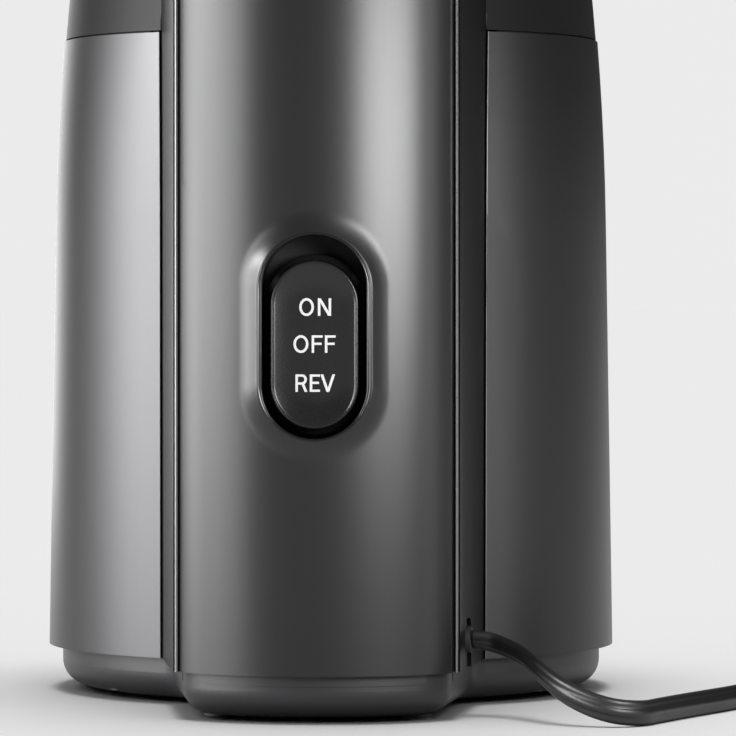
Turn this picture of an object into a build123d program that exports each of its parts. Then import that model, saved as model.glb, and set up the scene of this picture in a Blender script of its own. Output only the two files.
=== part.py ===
from build123d import *

import math
import os

# Cold press juicer with a round motor base, a control column on its -Y side and a juice spout on its -X side.
# Millimetres, +Z up, 0 is the surface that the feet stand on. The pieces are drawn about the drive axis, and
# are moved together at the end so that the origin is the middle of the footprint.

# ------------------------------------------------------------------ driving sizes
# round body
stand_gap = 1.4  # underside of the tray above the surface
tray_top = 14.0
tray_radius = 86.0
tray_wall = 3.0
tray_edge_round = 8.0
seam = 0.3  # shadow line between stacked mouldings
slip = 0.2  # gap between a lip and what it locates
lip_height = 7.0
lip_width_inside = 4.8
shell_foot_radius = 90.3
shell_waist_radius = 88.2
waist_height = 150.0
crown_arc_radius = 900.0
shell_wall = 2.4
shell_slot_gap = 0.25  # between the shell's front edges and the column's side walls
shell_edge_round = 0.35
collar_height = 25.5
collar_groove = 0.6
collar_inset = 0.5
collar_wall = 3.0
collar_round = 4.0
deck_top = 232.0
deck_thickness = 6.0

# control column, depths measured from the drive axis towards -Y
column_root_half = 49.8
column_root_depth = 70.0
column_front_half = 42.6
column_front_depth = 128.0
column_back_depth = 58.0
column_wall = 3.0
column_tip = 0.4
tower_drop = 4.0  # top of the tower below the bowl's rim
tower_back_sag = 7.5
tower_clearance = 2.5
flange_step = 2.2
flange_width = 8.6
bead_inset = 1.2
bead_width = 1.0
bead_proud = 1.2
panel_inset = 2.2
panel_edge_proud = 1.5
panel_bulge = 17.0
panel_fullness = 3.6  # half-width of the bulge's oval beyond the panel's edge
panel_wall = 2.6
column_cap_height = 11.2
cap_round = 6.0
foot_inset = 3.6
foot_blend = 12.0

# rubber feet and base screws
foot_radius = 4.5
foot_neck_radius = 2.0
foot_bead_radius = 2.9
front_foot_inset = 13.2
front_foot_setback = 9.0
rear_foot_inset = 12.5
post_inset = 8.6
post_radius = 5.0
post_angles = (25, 155, 216, 324)
screw_radius = 2.0
screw_clearance = 0.2
thread_clearance = 0.05
screw_head_radius = 3.6
screw_head_height = 2.6
vent_slots = 9
vent_width = 3.0
vent_pitch = 7.0
vent_length = 52.0

# switch
switch_height = 113.4
lip_width = 33.6
lip_length = 61.0
lip_wall = 1.5
lip_end_wall = 0.75
lip_proud = 1.5
swell_width = 43.0
swell_length = 72.0
swell_fall = 3.9
bezel_length = 18.0
rocker_drop = 2.3  # middle of the rocker below the middle of the opening
rocker_width = 25.7
rocker_length = 49.1
rocker_sink = 1.4
rocker_thickness = 12.6
rocker_rim = 1.2
dish_slope = 2.6
dish_depth = 1.4
skirt_gap = 0.5
skirt_thickness = 3.5
pivot_ahead = 2.0
trunnion_radius = 2.0
switch_half = 11.0
switch_length = 40.0
switch_body_length = 20.0
switch_plate = 1.6
terminal_pitch = 12.0
terminal_length = 2.0

# cord and its exit in the column's right wall
exit_setback = 17.0
exit_height = 22.8
notch_width = 14.0
notch_top = 29.2
notch_recess = 1.2
cord_width = 7.5
cord_thickness = 3.6

# electrics
board_thickness = 1.6
board_low = 60.0
board_length = 136.0
guide_width = 2.0
guide_reach = 3.0
capacitor_radius = 15.0
capacitor_height = 58.0
capacitor_setback = 14.0

# motor, a vertical unit hung under the gearbox
motor_radius = 48.5
stator_length = 44.0
stator_bore = 27.0
air_gap = 0.5
winding_height = 12.0
bracket_plate = 8.0
bracket_skirt = 5.5
bracket_reach = 16.0
tie_inset = 3.2
tie_radius = 1.6
shaft_radius = 4.0
shaft_tail = 45.0
bearing_radius = 11.0
bearing_width = 7.0
fan_height = 12.0
fan_radius = 36.0
fan_blades = 7

# stepped planetary gearbox
gear_module = 1.25
sun_teeth = 12
large_teeth = 30
small_teeth = 12
ring_teeth = 54
pressure_angle = 25.0
tooth_addendum = 0.8
tooth_dedendum = 1.1
tooth_backlash = 0.16
planets = 3
gear_width = 10.0
stage_gap = 1.0
small_width = 15.5
gearbox_depth = 53.0
gearbox_radius = 56.0
gearbox_floor = 4.0
gearbox_wall = 8.5
gear_clearance = 2.0
pin_radius = 2.5
running = 0.05
carrier_radius = 33.0
carrier_thickness = 6.0
output_radius = 7.5
output_bearing_radius = 16.0
hex_flats = 12.5
hex_clearance = 0.2
hex_engagement = 15.0

# juicing bowl, strainer and auger
bowl_foot_radius = 62.0
bowl_flare = 4.0
bowl_wall = 2.8
bowl_floor_rise = 6.5
bowl_floor = 3.5
bowl_depth = 80.0
hub_bore = 12.0
hub_wall = 2.5
hub_height = 8.0
seat_height = 4.0
spout_reach = 108.0
spout_half_width = 14.0
spout_half_height = 12.0
spout_rise = 12.0
spout_wall = 3.0
cap_plate = 3.6
hinge_radius = 1.5
hinge_rise = 4.8
hinge_setback = 3.0
ear_inner = 9.0
ear_width = 3.2
duct_reach = 104.0
duct_half_width = 15.0
duct_rise = 1.5
duct_height = 22.0
duct_wall = 3.0
strainer_low_radius = 46.6
strainer_flare = 1.8
strainer_wall = 1.8
strainer_drop = 5.0
strainer_floor = 3.2
slot_columns = 18
slot_rows = 2
slot_width = 2.0
slot_height = 20.0
slot_low = 26.0  # first row above the bowl's floor
slot_pitch = 24.0
auger_stem_radius = 11.5
auger_flight_gap = 1.2
auger_flight_thickness = 6.0
auger_core_radius = 30.0
auger_pitch = 46.0
auger_turns = 1.15

# lid, feed chute and pusher
lid_gap = 0.6
lid_wall = 1.6
lid_skirt_drop = 11.0
chute_bore = 38.5
chute_wall = 2.6
chute_foot = 3.0
chute_length = 63.0
chute_flare = 7.5
throat_rise = 20.0
tab_half = 15.0
tab_thickness = 6.0
magnet_radius = 5.0
magnet_height = 3.0
magnet_setback = 10.0
sensor_gap = 9.0  # between the tower's back wall and the lid sensor
sensor_half = 4.0
sensor_half_width = 12.0
sensor_height = 12.0
pusher_gap = 0.9
pusher_rise = 8.0
pusher_wall = 2.4
knob_height = 25.0

# ------------------------------------------------------------------ values worked out from them
shell_bottom = tray_top + seam
shell_top = deck_top - collar_height
tray_floor = stand_gap + tray_wall
lip_top = tray_top + lip_height
collar_bottom = shell_top + collar_groove
deck_low = deck_top - deck_thickness
post_circle = tray_radius - post_inset
rear_foot_circle = tray_radius - rear_foot_inset

column_bottom = tray_top + slip
flange_depth = column_front_depth - flange_step
flange_inner_half = column_front_half - flange_width
bead_half = column_front_half - bead_inset
bead_depth = column_front_depth + bead_proud
panel_half = column_front_half - panel_inset
panel_edge_depth = column_front_depth + panel_edge_proud
panel_face_depth = panel_edge_depth + panel_bulge
panel_ellipse_half = panel_half + panel_fullness
panel_ellipse_depth = panel_bulge / (1 - math.sqrt(1 - (panel_half / panel_ellipse_half) ** 2))
panel_centre_depth = panel_face_depth - panel_ellipse_depth
front_foot_x = column_front_half - front_foot_inset
front_foot_depth = column_front_depth - front_foot_setback
exit_depth = column_front_depth - exit_setback

lip_depth = panel_face_depth + lip_proud
swell_depth = panel_face_depth - swell_fall
opening_width = lip_width - 2 * lip_wall
opening_length = lip_length - 2 * lip_end_wall
rocker_height = switch_height - rocker_drop
rocker_face_depth = lip_depth - rocker_sink
rocker_back_depth = rocker_face_depth - rocker_thickness
rocker_axis_depth = rocker_back_depth + pivot_ahead
skirt_width = opening_width - 2 * skirt_gap
skirt_length = rocker_length + skirt_width - rocker_width
switch_front_depth = lip_depth - bezel_length
switch_back_depth = switch_front_depth - switch_body_length
board_depth = switch_back_depth - terminal_length - board_thickness
board_high = board_low + board_length
capacitor_depth = column_root_depth + capacitor_setback

gearbox_low = deck_low - gearbox_depth
gear_low = gearbox_low + gearbox_floor + gear_clearance
gear_high = gear_low + gear_width
small_low = gear_high + stage_gap
small_high = small_low + small_width
carrier_low = small_high + 2 * stage_gap
carrier_high = carrier_low + carrier_thickness
planet_circle = gear_module * (sun_teeth + large_teeth) / 2
gearbox_cavity = gearbox_radius - gearbox_wall
gearbox_screw_circle = gearbox_radius - screw_head_radius
stack_angles = (45, 135, 225, 315)
stator_high = gearbox_low - bracket_plate - bracket_reach
stator_low = stator_high - stator_length
shaft_low = stator_low - shaft_tail
fan_low = shaft_low + bracket_plate / 2
tie_circle = motor_radius - tie_inset

bowl_floor_low = deck_top + bowl_floor_rise
bowl_floor_top = bowl_floor_low + bowl_floor
bowl_rim = bowl_floor_top + bowl_depth
bowl_rim_radius = bowl_foot_radius + bowl_flare
hub_top = bowl_floor_top + hub_height
spout_height = bowl_floor_top + spout_rise
hinge_height = spout_height + spout_half_height + hinge_rise
hinge_reach = spout_reach - hinge_setback
duct_low = bowl_floor_top + duct_rise
duct_high = duct_low + duct_height
strainer_high_radius = strainer_low_radius + strainer_flare
strainer_top = bowl_rim - strainer_drop
auger_low = bowl_floor_low + 3 * seam
auger_base = hub_top + 10 * seam
auger_top = strainer_top + 1.0
auger_flight_radius = strainer_low_radius - strainer_wall - auger_flight_gap
hex_top = auger_base + hex_engagement

tower_top = bowl_rim - tower_drop
tower_back_depth = bowl_rim_radius + tower_clearance
throat_height = bowl_rim + throat_rise
flare_radius = chute_bore + chute_flare
lid_seat = bowl_rim + seam
seal_lip = bowl_rim_radius - bowl_wall - 3.2
chute_top = throat_height + chute_length
lid_skirt_radius = bowl_rim_radius + lid_gap + lid_wall
tab_low = tower_top + column_cap_height + slip + 1.8
tab_high = tab_low + tab_thickness
magnet_depth = tower_back_depth + tower_back_sag + column_wall + sensor_gap + sensor_half
tab_reach = magnet_depth + magnet_setback
magnet_low = tab_low + tab_thickness / 4
pusher_low = throat_height + pusher_rise
pusher_top = chute_top + knob_height


# ------------------------------------------------------------------ small drawing helpers
def disc(radius, low, high, x=0.0, y=0.0):
    return Pos(x, y, low) * extrude(Circle(radius), high - low)


def tube(outer, inner, low, high, x=0.0, y=0.0):
    return disc(outer, low, high, x, y) - disc(inner, low, high, x, y)


def block(x_low, x_high, y_low, y_high, z_low, z_high):
    centre = Pos((x_low + x_high) / 2, (y_low + y_high) / 2, (z_low + z_high) / 2)
    return centre * Box(x_high - x_low, y_high - y_low, z_high - z_low)


def turned(corners):
    """Solid of revolution about the drive axis from (radius, height) corners."""
    outline = Polyline(*[(radius, 0, height) for radius, height in corners], close=True)
    return revolve(make_face(outline), Axis.Z)


def plan(corners, low, high):
    """Prism over a closed (x, y) outline."""
    return Pos(0, 0, low) * extrude(make_face(Polyline(*corners, close=True)), high - low)


def around(angle, radius):
    return radius * math.cos(math.radians(angle)), radius * math.sin(math.radians(angle))


def level_edges(piece, height):
    """Edges that lie in the plane at this height."""
    box_test = lambda edge: edge.bounding_box()
    flat = [edge for edge in piece.edges() if abs(box_test(edge).min.Z - height) < 0.01]
    return [edge for edge in flat if abs(box_test(edge).max.Z - height) < 0.01]


# ------------------------------------------------------------------ outlines shared by several pieces
def body_radius(height):
    """Outer radius of the round body: a straight taper, then a long arc that draws in to the deck."""
    slope = (shell_foot_radius - shell_waist_radius) / (waist_height - shell_bottom)
    radius = shell_foot_radius - slope * (height - shell_bottom)
    if height > waist_height:
        radius -= (height - waist_height) ** 2 / (2 * crown_arc_radius)
    return radius


def body_wall(low, high, outer_inset, inner_inset):
    """Ring of the round body between two heights and two insets from its outer face."""
    bends = [low, high] if high <= waist_height else [max(low, waist_height), high]

    def side(inset):
        top_low = bends[0]
        middle = (top_low + high) / 2
        arc = ThreePointArc(
            (body_radius(top_low) - inset, 0, top_low),
            (body_radius(middle) - inset, 0, middle),
            (body_radius(high) - inset, 0, high),
        )
        if low >= top_low:
            return [arc]
        straight = Line((body_radius(low) - inset, 0, low), (body_radius(top_low) - inset, 0, top_low))
        return [straight, arc]

    top = Line((body_radius(high) - outer_inset, 0, high), (body_radius(high) - inner_inset, 0, high))
    bottom = Line((body_radius(low) - outer_inset, 0, low), (body_radius(low) - inner_inset, 0, low))
    return revolve(make_face(side(outer_inset) + [top] + side(inner_inset) + [bottom]), Axis.Z)


def column_half(depth):
    """Half-width of the column's outer side wall at this depth."""
    share = (depth - column_root_depth) / (column_front_depth - column_root_depth)
    return column_root_half + (column_front_half - column_root_half) * share


def column_plan(inset, back_depth=column_back_depth):
    """Outline of the whole column, walls and bulged front, drawn in by an inset."""
    back_half = column_half(back_depth) - inset
    front_half = column_front_half - inset
    wedge = make_face(
        Polyline(
            (-back_half, -back_depth),
            (back_half, -back_depth),
            (front_half, -column_front_depth + inset / 2),
            (-front_half, -column_front_depth + inset / 2),
            close=True,
        )
    )
    bulge = Pos(0, -panel_centre_depth) * Ellipse(panel_ellipse_half - inset, panel_ellipse_depth - inset)
    window = Pos(0, -panel_centre_depth - panel_ellipse_depth / 2) * Rectangle(
        2 * (panel_half - inset), panel_ellipse_depth
    )
    return wedge + (bulge & window)


def bulge_prism(inset, low, high):
    """Prism under the bulged front panel's face, drawn in by an inset."""
    oval = Pos(0, -panel_centre_depth, low) * extrude(
        Ellipse(panel_ellipse_half - inset, panel_ellipse_depth - inset), high - low
    )
    half = panel_half - inset
    return oval & block(-half, half, -panel_face_depth, -flange_depth - seam, low, high)


def tray_plan(inset):
    """Outline of the tray: the round body and the column's foot, blended where they meet."""
    edge = foot_inset + inset
    near, far = column_back_depth, panel_face_depth + foot_inset
    sides = Polyline(
        (-column_half(near) + edge, -near),
        (column_half(near) - edge, -near),
        (column_half(far) - edge, -far),
        (-column_half(far) + edge, -far),
        close=True,
    )
    oval_half = column_half(panel_centre_depth) + slip
    front = Pos(0, -panel_centre_depth) * Ellipse(oval_half - edge, panel_ellipse_depth - edge)
    front += Pos(0, -panel_centre_depth / 2) * Rectangle(2 * tray_radius, panel_centre_depth)
    outline = Circle(tray_radius - inset) + (make_face(sides) & front)
    rim = tray_radius - inset
    corners = [v for v in outline.vertices() if v.Y < -near and abs(math.hypot(v.X, v.Y) - rim) < 0.01]
    outline = fillet(corners, foot_blend + inset)
    corners = [v for v in outline.vertices() if v.Y < -panel_centre_depth - 0.1]
    return fillet(corners, foot_blend)


def column_slot(spare, low, high):
    """Prism, wider than the column by a spare each side, where the column passes through the round body."""
    near, far = column_back_depth, shell_foot_radius + lip_height
    return plan(
        [
            (-column_half(near) - spare, -near),
            (column_half(near) + spare, -near),
            (column_half(far) + spare, -far),
            (-column_half(far) - spare, -far),
        ],
        low,
        high,
    )


def stadium_prism(width, length, depth_front, depth_back, height):
    """Upright stadium between two depths in front of the drive axis, centred at a height."""
    face = Plane(origin=(0, -depth_back, height), z_dir=(0, -1, 0), x_dir=(1, 0, 0)) * SlotOverall(
        length, width, rotation=90
    )
    return extrude(face, depth_front - depth_back)


# ------------------------------------------------------------------ base tray, feet and screws
def rubber_foot_places():
    for side in (-1, 1):
        yield side * front_foot_x, -front_foot_depth
        rear_x, rear_y = around(45, rear_foot_circle)
        yield side * rear_x, rear_y


def make_base_tray():
    depth = tray_top - stand_gap
    outer = Pos(0, 0, stand_gap) * extrude(tray_plan(0), depth)
    outer = fillet(level_edges(outer, stand_gap), tray_edge_round)
    inner_round = tray_edge_round - tray_wall
    cavity = Pos(0, 0, tray_floor) * extrude(tray_plan(tray_wall), depth)
    cavity = fillet(level_edges(cavity, tray_floor), inner_round)
    tray = outer - cavity

    # lips that stand up inside the shell and inside the column walls
    lip_low = tray_top - tray_wall
    lip_outer = body_radius(shell_bottom) - shell_wall - slip
    shell_lip = turned(
        [
            (lip_outer - lip_width_inside, lip_low),
            (tray_radius - 1.0, lip_low),
            (tray_radius - 1.0, shell_bottom + slip),
            (lip_outer, shell_bottom + slip),
            (lip_outer, lip_top),
            (lip_outer - lip_width_inside, lip_top),
        ]
    )
    shell_lip -= column_slot(2.0, 0, lip_top + 1)
    inset = column_wall + slip
    column_lip = extrude(column_plan(inset) - column_plan(inset + 4.0), lip_top - lip_low)
    column_lip = Pos(0, 0, lip_low) * column_lip
    column_lip -= block(-tray_radius, tray_radius, -column_root_depth - 8, 0, 0, lip_top + 1)
    for side in (-1, 1):
        reach = sorted((side * (flange_inner_half - 1.5), side * column_root_half))
        column_lip -= block(*reach, -bead_depth - 8, -flange_depth + 6, 0, lip_top + 1)
    notch_low, notch_high = -exit_depth - notch_width / 2 - 1, -exit_depth + notch_width / 2 + 1
    notch = block(flange_inner_half, tray_radius, notch_low, notch_high, tray_top, notch_top)
    tray = tray + shell_lip + (column_lip - notch)

    # screw posts, push-in holes for the feet, and slots under the fan
    for angle in post_angles:
        x, y = around(angle, post_circle)
        tray += disc(post_radius, stand_gap + 1.0, lip_top, x, y)
        tray -= disc(screw_radius + screw_clearance, 0, lip_top + 1, x, y)
        tray -= disc(screw_head_radius + screw_clearance, 0, tray_floor + 3.0, x, y)
    for x, y in rubber_foot_places():
        tray -= disc(foot_neck_radius + running, 0, tray_floor + 1, x, y)
        tray -= disc(foot_bead_radius + running, tray_floor, tray_floor + 6, x, y)
    for index in range(vent_slots):
        y = (index - (vent_slots - 1) / 2) * vent_pitch
        slot = extrude(SlotOverall(vent_length, vent_width), tray_wall + 2)
        tray -= Pos(0, y, stand_gap - 1) * slot
    return tray


def make_rubber_feet():
    bead_top = tray_floor + 2.4
    foot = turned(
        [
            (0, 0),
            (foot_radius - 0.8, 0),
            (foot_radius, 0.8),
            (foot_radius, stand_gap),
            (foot_neck_radius, stand_gap),
            (foot_neck_radius, tray_floor),
            (foot_bead_radius, tray_floor),
            (foot_neck_radius - 0.6, bead_top),
            (0, bead_top),
        ]
    )
    return Compound([Pos(x, y, 0) * foot for x, y in rubber_foot_places()])


def make_base_screws():
    head_top = tray_floor + 3.0
    screws = []
    for angle in post_angles:
        x, y = around(angle, post_circle)
        head = disc(screw_head_radius, head_top - screw_head_height, head_top, x, y)
        screws.append(head + disc(screw_radius, head_top, lip_top + 18, x, y))
    return Compound(screws)


# ------------------------------------------------------------------ body shell, collar and deck
def make_body_shell():
    shell = body_wall(shell_bottom, shell_top, 0, shell_wall)
    shell -= column_slot(shell_slot_gap, 0, shell_top + 5)
    cut_edges = []
    for edge in shell.edges():
        middle = edge.center()
        upright = edge.bounding_box().size.Z > 0.9 * edge.length
        outer = math.hypot(middle.X, middle.Y) > body_radius(middle.Z) - shell_wall / 2
        if upright and outer and middle.Y < -column_back_depth and abs(middle.X) < column_root_half + 1:
            cut_edges.append(edge)
    return fillet(cut_edges, shell_edge_round)


def tower_back_circle():
    """Radius and centre of the long arc of the tower's back, hollow towards the bowl."""
    half = column_half(tower_back_depth)
    radius = (half**2 + tower_back_sag**2) / (2 * tower_back_sag)
    centre_y = -(tower_back_depth + tower_back_sag) + radius
    return radius, centre_y


def make_collar_deck():
    back_radius, back_y = tower_back_circle()
    middle = column_back_depth
    edge = fillet(
        level_edges(body_wall(collar_bottom, deck_top, collar_inset, middle), deck_top)[:1], collar_round
    )
    solid = edge + disc(middle, collar_bottom, deck_top)
    tower_zone = column_slot(shell_slot_gap, collar_bottom, deck_top)
    solid -= tower_zone - disc(back_radius - seam, collar_bottom, deck_top, 0, back_y)
    inside = disc(body_radius(collar_bottom) - collar_inset - collar_wall, collar_bottom, deck_low)
    wall_zone = column_slot(shell_slot_gap + collar_wall, collar_bottom, deck_low)
    inside -= wall_zone - disc(back_radius - seam - collar_wall, collar_bottom, deck_low, 0, back_y)
    deck = solid - inside

    lip_outer = body_radius(shell_top) - shell_wall - slip
    lip = tube(lip_outer, lip_outer - 3.0, shell_top - lip_height, collar_bottom + 4)
    lip -= column_slot(3.0, 0, deck_top)
    deck += lip

    # posts down to the tray, and the guard and seat that the bowl drops over
    for angle in post_angles:
        x, y = around(angle, post_circle)
        post = disc(post_radius, lip_top + seam, deck_low, x, y)
        deck += post - disc(screw_radius + thread_clearance, lip_top, lip_top + 20, x, y)
    for angle in stack_angles:
        x, y = around(angle, gearbox_screw_circle)
        deck -= disc(screw_radius + thread_clearance, deck_low, deck_low + 4.5, x, y)
    deck += disc(output_bearing_radius + 4.0, deck_low, bowl_floor_low - seam - 0.4)
    deck += tube(bowl_foot_radius + 3.6, bowl_foot_radius + 0.6, deck_low, deck_top + seat_height)
    deck -= disc(output_bearing_radius, deck_low, bowl_floor_low)
    return deck


# ------------------------------------------------------------------ control column
def make_column_housing():
    back_radius, back_y = tower_back_circle()
    channel_half = column_front_half - column_tip
    inner_front = flange_depth - column_wall
    right = [
        (column_half(column_back_depth), -column_back_depth),
        (column_half(column_front_depth - 1.2), -column_front_depth + 1.2),
        (column_front_half - column_tip / 2, -column_front_depth),
        (channel_half, -column_front_depth),
        (channel_half, -flange_depth),
        (flange_inner_half, -flange_depth),
        (flange_inner_half, -inner_front),
        (column_half(inner_front) - column_wall, -inner_front),
        (column_half(column_back_depth + column_wall) - column_wall, -column_back_depth - column_wall),
        (column_half(column_back_depth) - 10, -column_back_depth - column_wall),
        (column_half(column_back_depth) - 10, -column_back_depth),
    ]
    wall = plan(right, column_bottom, tower_top)

    # slot that holds the edge of the control board
    guide_half = column_half(board_depth) - column_wall
    before = -board_depth + slip / 2
    behind = -board_depth - board_thickness - slip / 2 - guide_width
    for y in (before, behind):
        wall += block(
            guide_half - guide_reach, guide_half + 1, y, y + guide_width, board_low - 8, board_high + 4
        )
    housing = wall + mirror(wall, Plane.YZ)

    # from the collar up only the tower stands, closed at the back
    tower_low = collar_bottom - seam
    housing -= block(-tray_radius, tray_radius, -tower_back_depth, 0, tower_low, tower_top + 1)
    back = disc(back_radius + column_wall, tower_low, tower_top, 0, back_y)
    back -= disc(back_radius, tower_low, tower_top, 0, back_y)
    half = column_half(tower_back_depth)
    beyond = tower_back_depth + tower_back_sag + 4 * column_wall
    back &= plan(
        [
            (-half, -tower_back_depth),
            (half, -tower_back_depth),
            (column_half(beyond) - 0.5, -beyond),
            (-column_half(beyond) + 0.5, -beyond),
        ],
        tower_low,
        tower_top,
    )
    housing -= disc(back_radius, tower_low, tower_top + 1, 0, back_y)
    housing += back

    # notch for the cord's grommet at the foot of the right wall
    notch_half = notch_width / 2
    notch = block(-8, 2, -notch_half, notch_half, column_bottom - 1, notch_top)
    notch = fillet([e for e in level_edges(notch, notch_top) if abs(e.tangent_at(0).X) > 0.9], 4.0)
    housing -= wall_frame() * notch
    return housing


def make_column_trim():
    """A thin bead with a rounded nose each side of the front panel."""
    bead = plan(
        [
            (bead_half - bead_width / 2, -flange_depth),
            (bead_half + bead_width / 2, -flange_depth),
            (bead_half + bead_width / 2, -bead_depth + 0.3),
            (bead_half + bead_width / 4, -bead_depth),
            (bead_half - bead_width / 4, -bead_depth),
            (bead_half - bead_width / 2, -bead_depth + 0.3),
        ],
        column_bottom,
        tower_top,
    )
    return Compound([bead, mirror(bead, Plane.YZ)])


def make_column_front_panel():
    panel = bulge_prism(0, column_bottom, tower_top)
    panel -= bulge_prism(panel_wall, column_bottom - 1, tower_top + 1)
    panel -= block(
        -panel_half + panel_wall, panel_half - panel_wall,
        -panel_edge_depth, 0, column_bottom - 1, tower_top + 1,
    )
    low_face = Plane(origin=(0, -swell_depth, switch_height), z_dir=(0, -1, 0), x_dir=(1, 0, 0)) * SlotOverall(
        swell_length, swell_width, rotation=90
    )
    high_face = Plane(origin=(0, -lip_depth + 0.5, switch_height), z_dir=(0, -1, 0), x_dir=(1, 0, 0)) * SlotOverall(
        lip_length + 1.2, lip_width + 1.2, rotation=90
    )
    panel += loft([low_face.face(), high_face.face()])
    hole_width = lip_width + 2 * running
    hole_length = lip_length + 2 * running
    return panel - stadium_prism(hole_width, hole_length, lip_depth + 5, switch_front_depth - 2, switch_height)


def make_column_cap():
    outline = column_plan(0, tower_back_depth)
    back_radius, back_y = tower_back_circle()
    cap_top = tower_top + slip + column_cap_height
    cap = Pos(0, 0, tower_top + slip) * extrude(outline, column_cap_height)
    cap -= disc(back_radius, tower_top, cap_top + 1, 0, back_y)
    cap = fillet(level_edges(cap, cap_top), cap_round)
    plug_inset = column_wall + slip
    plug = column_plan(plug_inset, tower_back_depth + tower_back_sag + column_wall + 2)
    plug -= column_plan(plug_inset + 2.0, tower_back_depth + tower_back_sag + column_wall + 4)
    plug = Pos(0, 0, tower_top - 6) * extrude(plug, 8)
    front_plug = flange_depth - column_wall - slip
    plug -= block(-tray_radius, tray_radius, -panel_face_depth, -front_plug, 0, tower_top + slip)
    return cap + plug


# ------------------------------------------------------------------ switch
def make_switch_bezel():
    bezel = stadium_prism(lip_width, lip_length, lip_depth, switch_front_depth, switch_height)
    bezel = fillet(
        [e for e in bezel.edges() if abs(e.center().Y + lip_depth) < 0.01], 0.45
    )
    bezel -= stadium_prism(opening_width, opening_length, lip_depth + 1, switch_front_depth - 1, switch_height)
    hinge = Pos(0, -rocker_axis_depth, rocker_height) * Rot(0, 90, 0) * Cylinder(
        trunnion_radius + running, lip_width + 2
    )
    return bezel - hinge


def make_rocker_cap():
    """Three-way rocker with a dished face, a skirt that closes the opening, side trunnions and a tongue."""
    skirt_front = rocker_back_depth + skirt_thickness
    rocker = stadium_prism(rocker_width, rocker_length, rocker_face_depth, rocker_back_depth, rocker_height)
    front = [e for e in rocker.edges() if abs(e.center().Y + rocker_face_depth) < 0.01]
    rocker = fillet(front, rocker_rim / 2)
    rim_width = rocker_width - 2 * rocker_rim
    rim_length = rocker_length - 2 * rocker_rim
    dish_front = Plane(origin=(0, -rocker_face_depth, rocker_height), z_dir=(0, -1, 0), x_dir=(1, 0, 0))
    dish_back = Plane(
        origin=(0, -rocker_face_depth + dish_depth, rocker_height), z_dir=(0, -1, 0), x_dir=(1, 0, 0)
    )
    wide = dish_front * SlotOverall(rim_length, rim_width, rotation=90)
    narrow = dish_back * SlotOverall(rim_length - 2 * dish_slope, rim_width - 2 * dish_slope, rotation=90)
    rocker -= loft([narrow.face(), wide.face()])
    rocker += stadium_prism(skirt_width, skirt_length, skirt_front, rocker_back_depth, rocker_height)
    trunnion = Pos(0, -rocker_axis_depth, rocker_height) * Rot(0, 90, 0) * Cylinder(
        trunnion_radius, lip_width - 0.8
    )
    tongue = block(
        -3, 3, -rocker_back_depth - 1, -switch_front_depth + 2.5, rocker_height - 3, rocker_height + 3
    )
    return rocker + trunnion + tongue


def make_switch_body():
    middle = rocker_height
    body = block(
        -switch_half, switch_half, -switch_front_depth, -switch_back_depth,
        middle - switch_length / 2, middle + switch_length / 2,
    )
    body += stadium_prism(
        lip_width, lip_length, switch_front_depth, switch_front_depth - switch_plate, switch_height
    )
    body -= block(-4.2, 4.2, -switch_front_depth - 1, -switch_front_depth + 4.5, middle - 6.5, middle + 6.5)
    for offset in (-terminal_pitch, 0, terminal_pitch):
        terminal = Pos(0, -switch_back_depth, middle + offset) * Rot(90, 0, 0) * Cylinder(1.2, 1)
        body += Pos(0, 0.5, 0) * terminal
        body += block(
            -1.2, 1.2, -switch_back_depth - 0.5, -board_depth - board_thickness,
            middle + offset - 1.2, middle + offset + 1.2,
        )
    return body


# ------------------------------------------------------------------ electrics
def make_control_board():
    half = column_half(board_depth + board_thickness) - column_wall - slip
    return block(-half, half, -board_depth - board_thickness, -board_depth, board_low, board_high)


def make_board_parts():
    """Relay, transformer, heat sink and filter choke on the board's inner face."""
    y, low = -board_depth, board_low
    return Compound(
        [
            block(-30, -12, y, y + 14, low + 10, low + 32),
            block(8, 32, y, y + 20, low + 10, low + 38),
            block(-28, 28, y, y + 9, low + 108, low + 124),
            Pos(-18, y, low + 52) * Rot(-90, 0, 0) * extrude(Circle(9) - Circle(4), 9),
            Pos(18, y, low + 58) * Rot(-90, 0, 0) * extrude(Circle(5), 14),
            Pos(24, y, low + 80) * Rot(-90, 0, 0) * extrude(Circle(4), 12),
        ]
    )


def make_run_capacitor():
    y = -capacitor_depth
    can = disc(capacitor_radius, tray_floor, tray_floor + capacitor_height, 0, y)
    can = fillet(level_edges(can, tray_floor + capacitor_height), 2.0)
    for x in (-5, 5):
        top = tray_floor + capacitor_height
        can += block(x - 0.4, x + 0.4, y - 3, y + 3, top, top + 8)
    return can


def make_lid_sensor():
    return block(
        -sensor_half_width, sensor_half_width, -magnet_depth - sensor_half, -magnet_depth + sensor_half,
        tower_top - sensor_height, tower_top + slip,
    )


# ------------------------------------------------------------------ motor
def make_motor_stator():
    stator = tube(motor_radius, stator_bore, stator_low, stator_high)
    for angle in (0, 90, 180, 270):
        x, y = around(angle, tie_circle)
        stator -= disc(tie_radius + screw_clearance, stator_low, stator_high, x, y)
    return stator


def make_motor_windings():
    """End turns of the coils, a rounded ring above and below the laminations."""
    ring = tube(40.0, stator_bore + 2.0, stator_high, stator_high + winding_height)
    ring = fillet(level_edges(ring, stator_high + winding_height), 4.0)
    below = mirror(ring, Plane.XY.offset((stator_low + stator_high) / 2))
    return Compound([ring, below])


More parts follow.
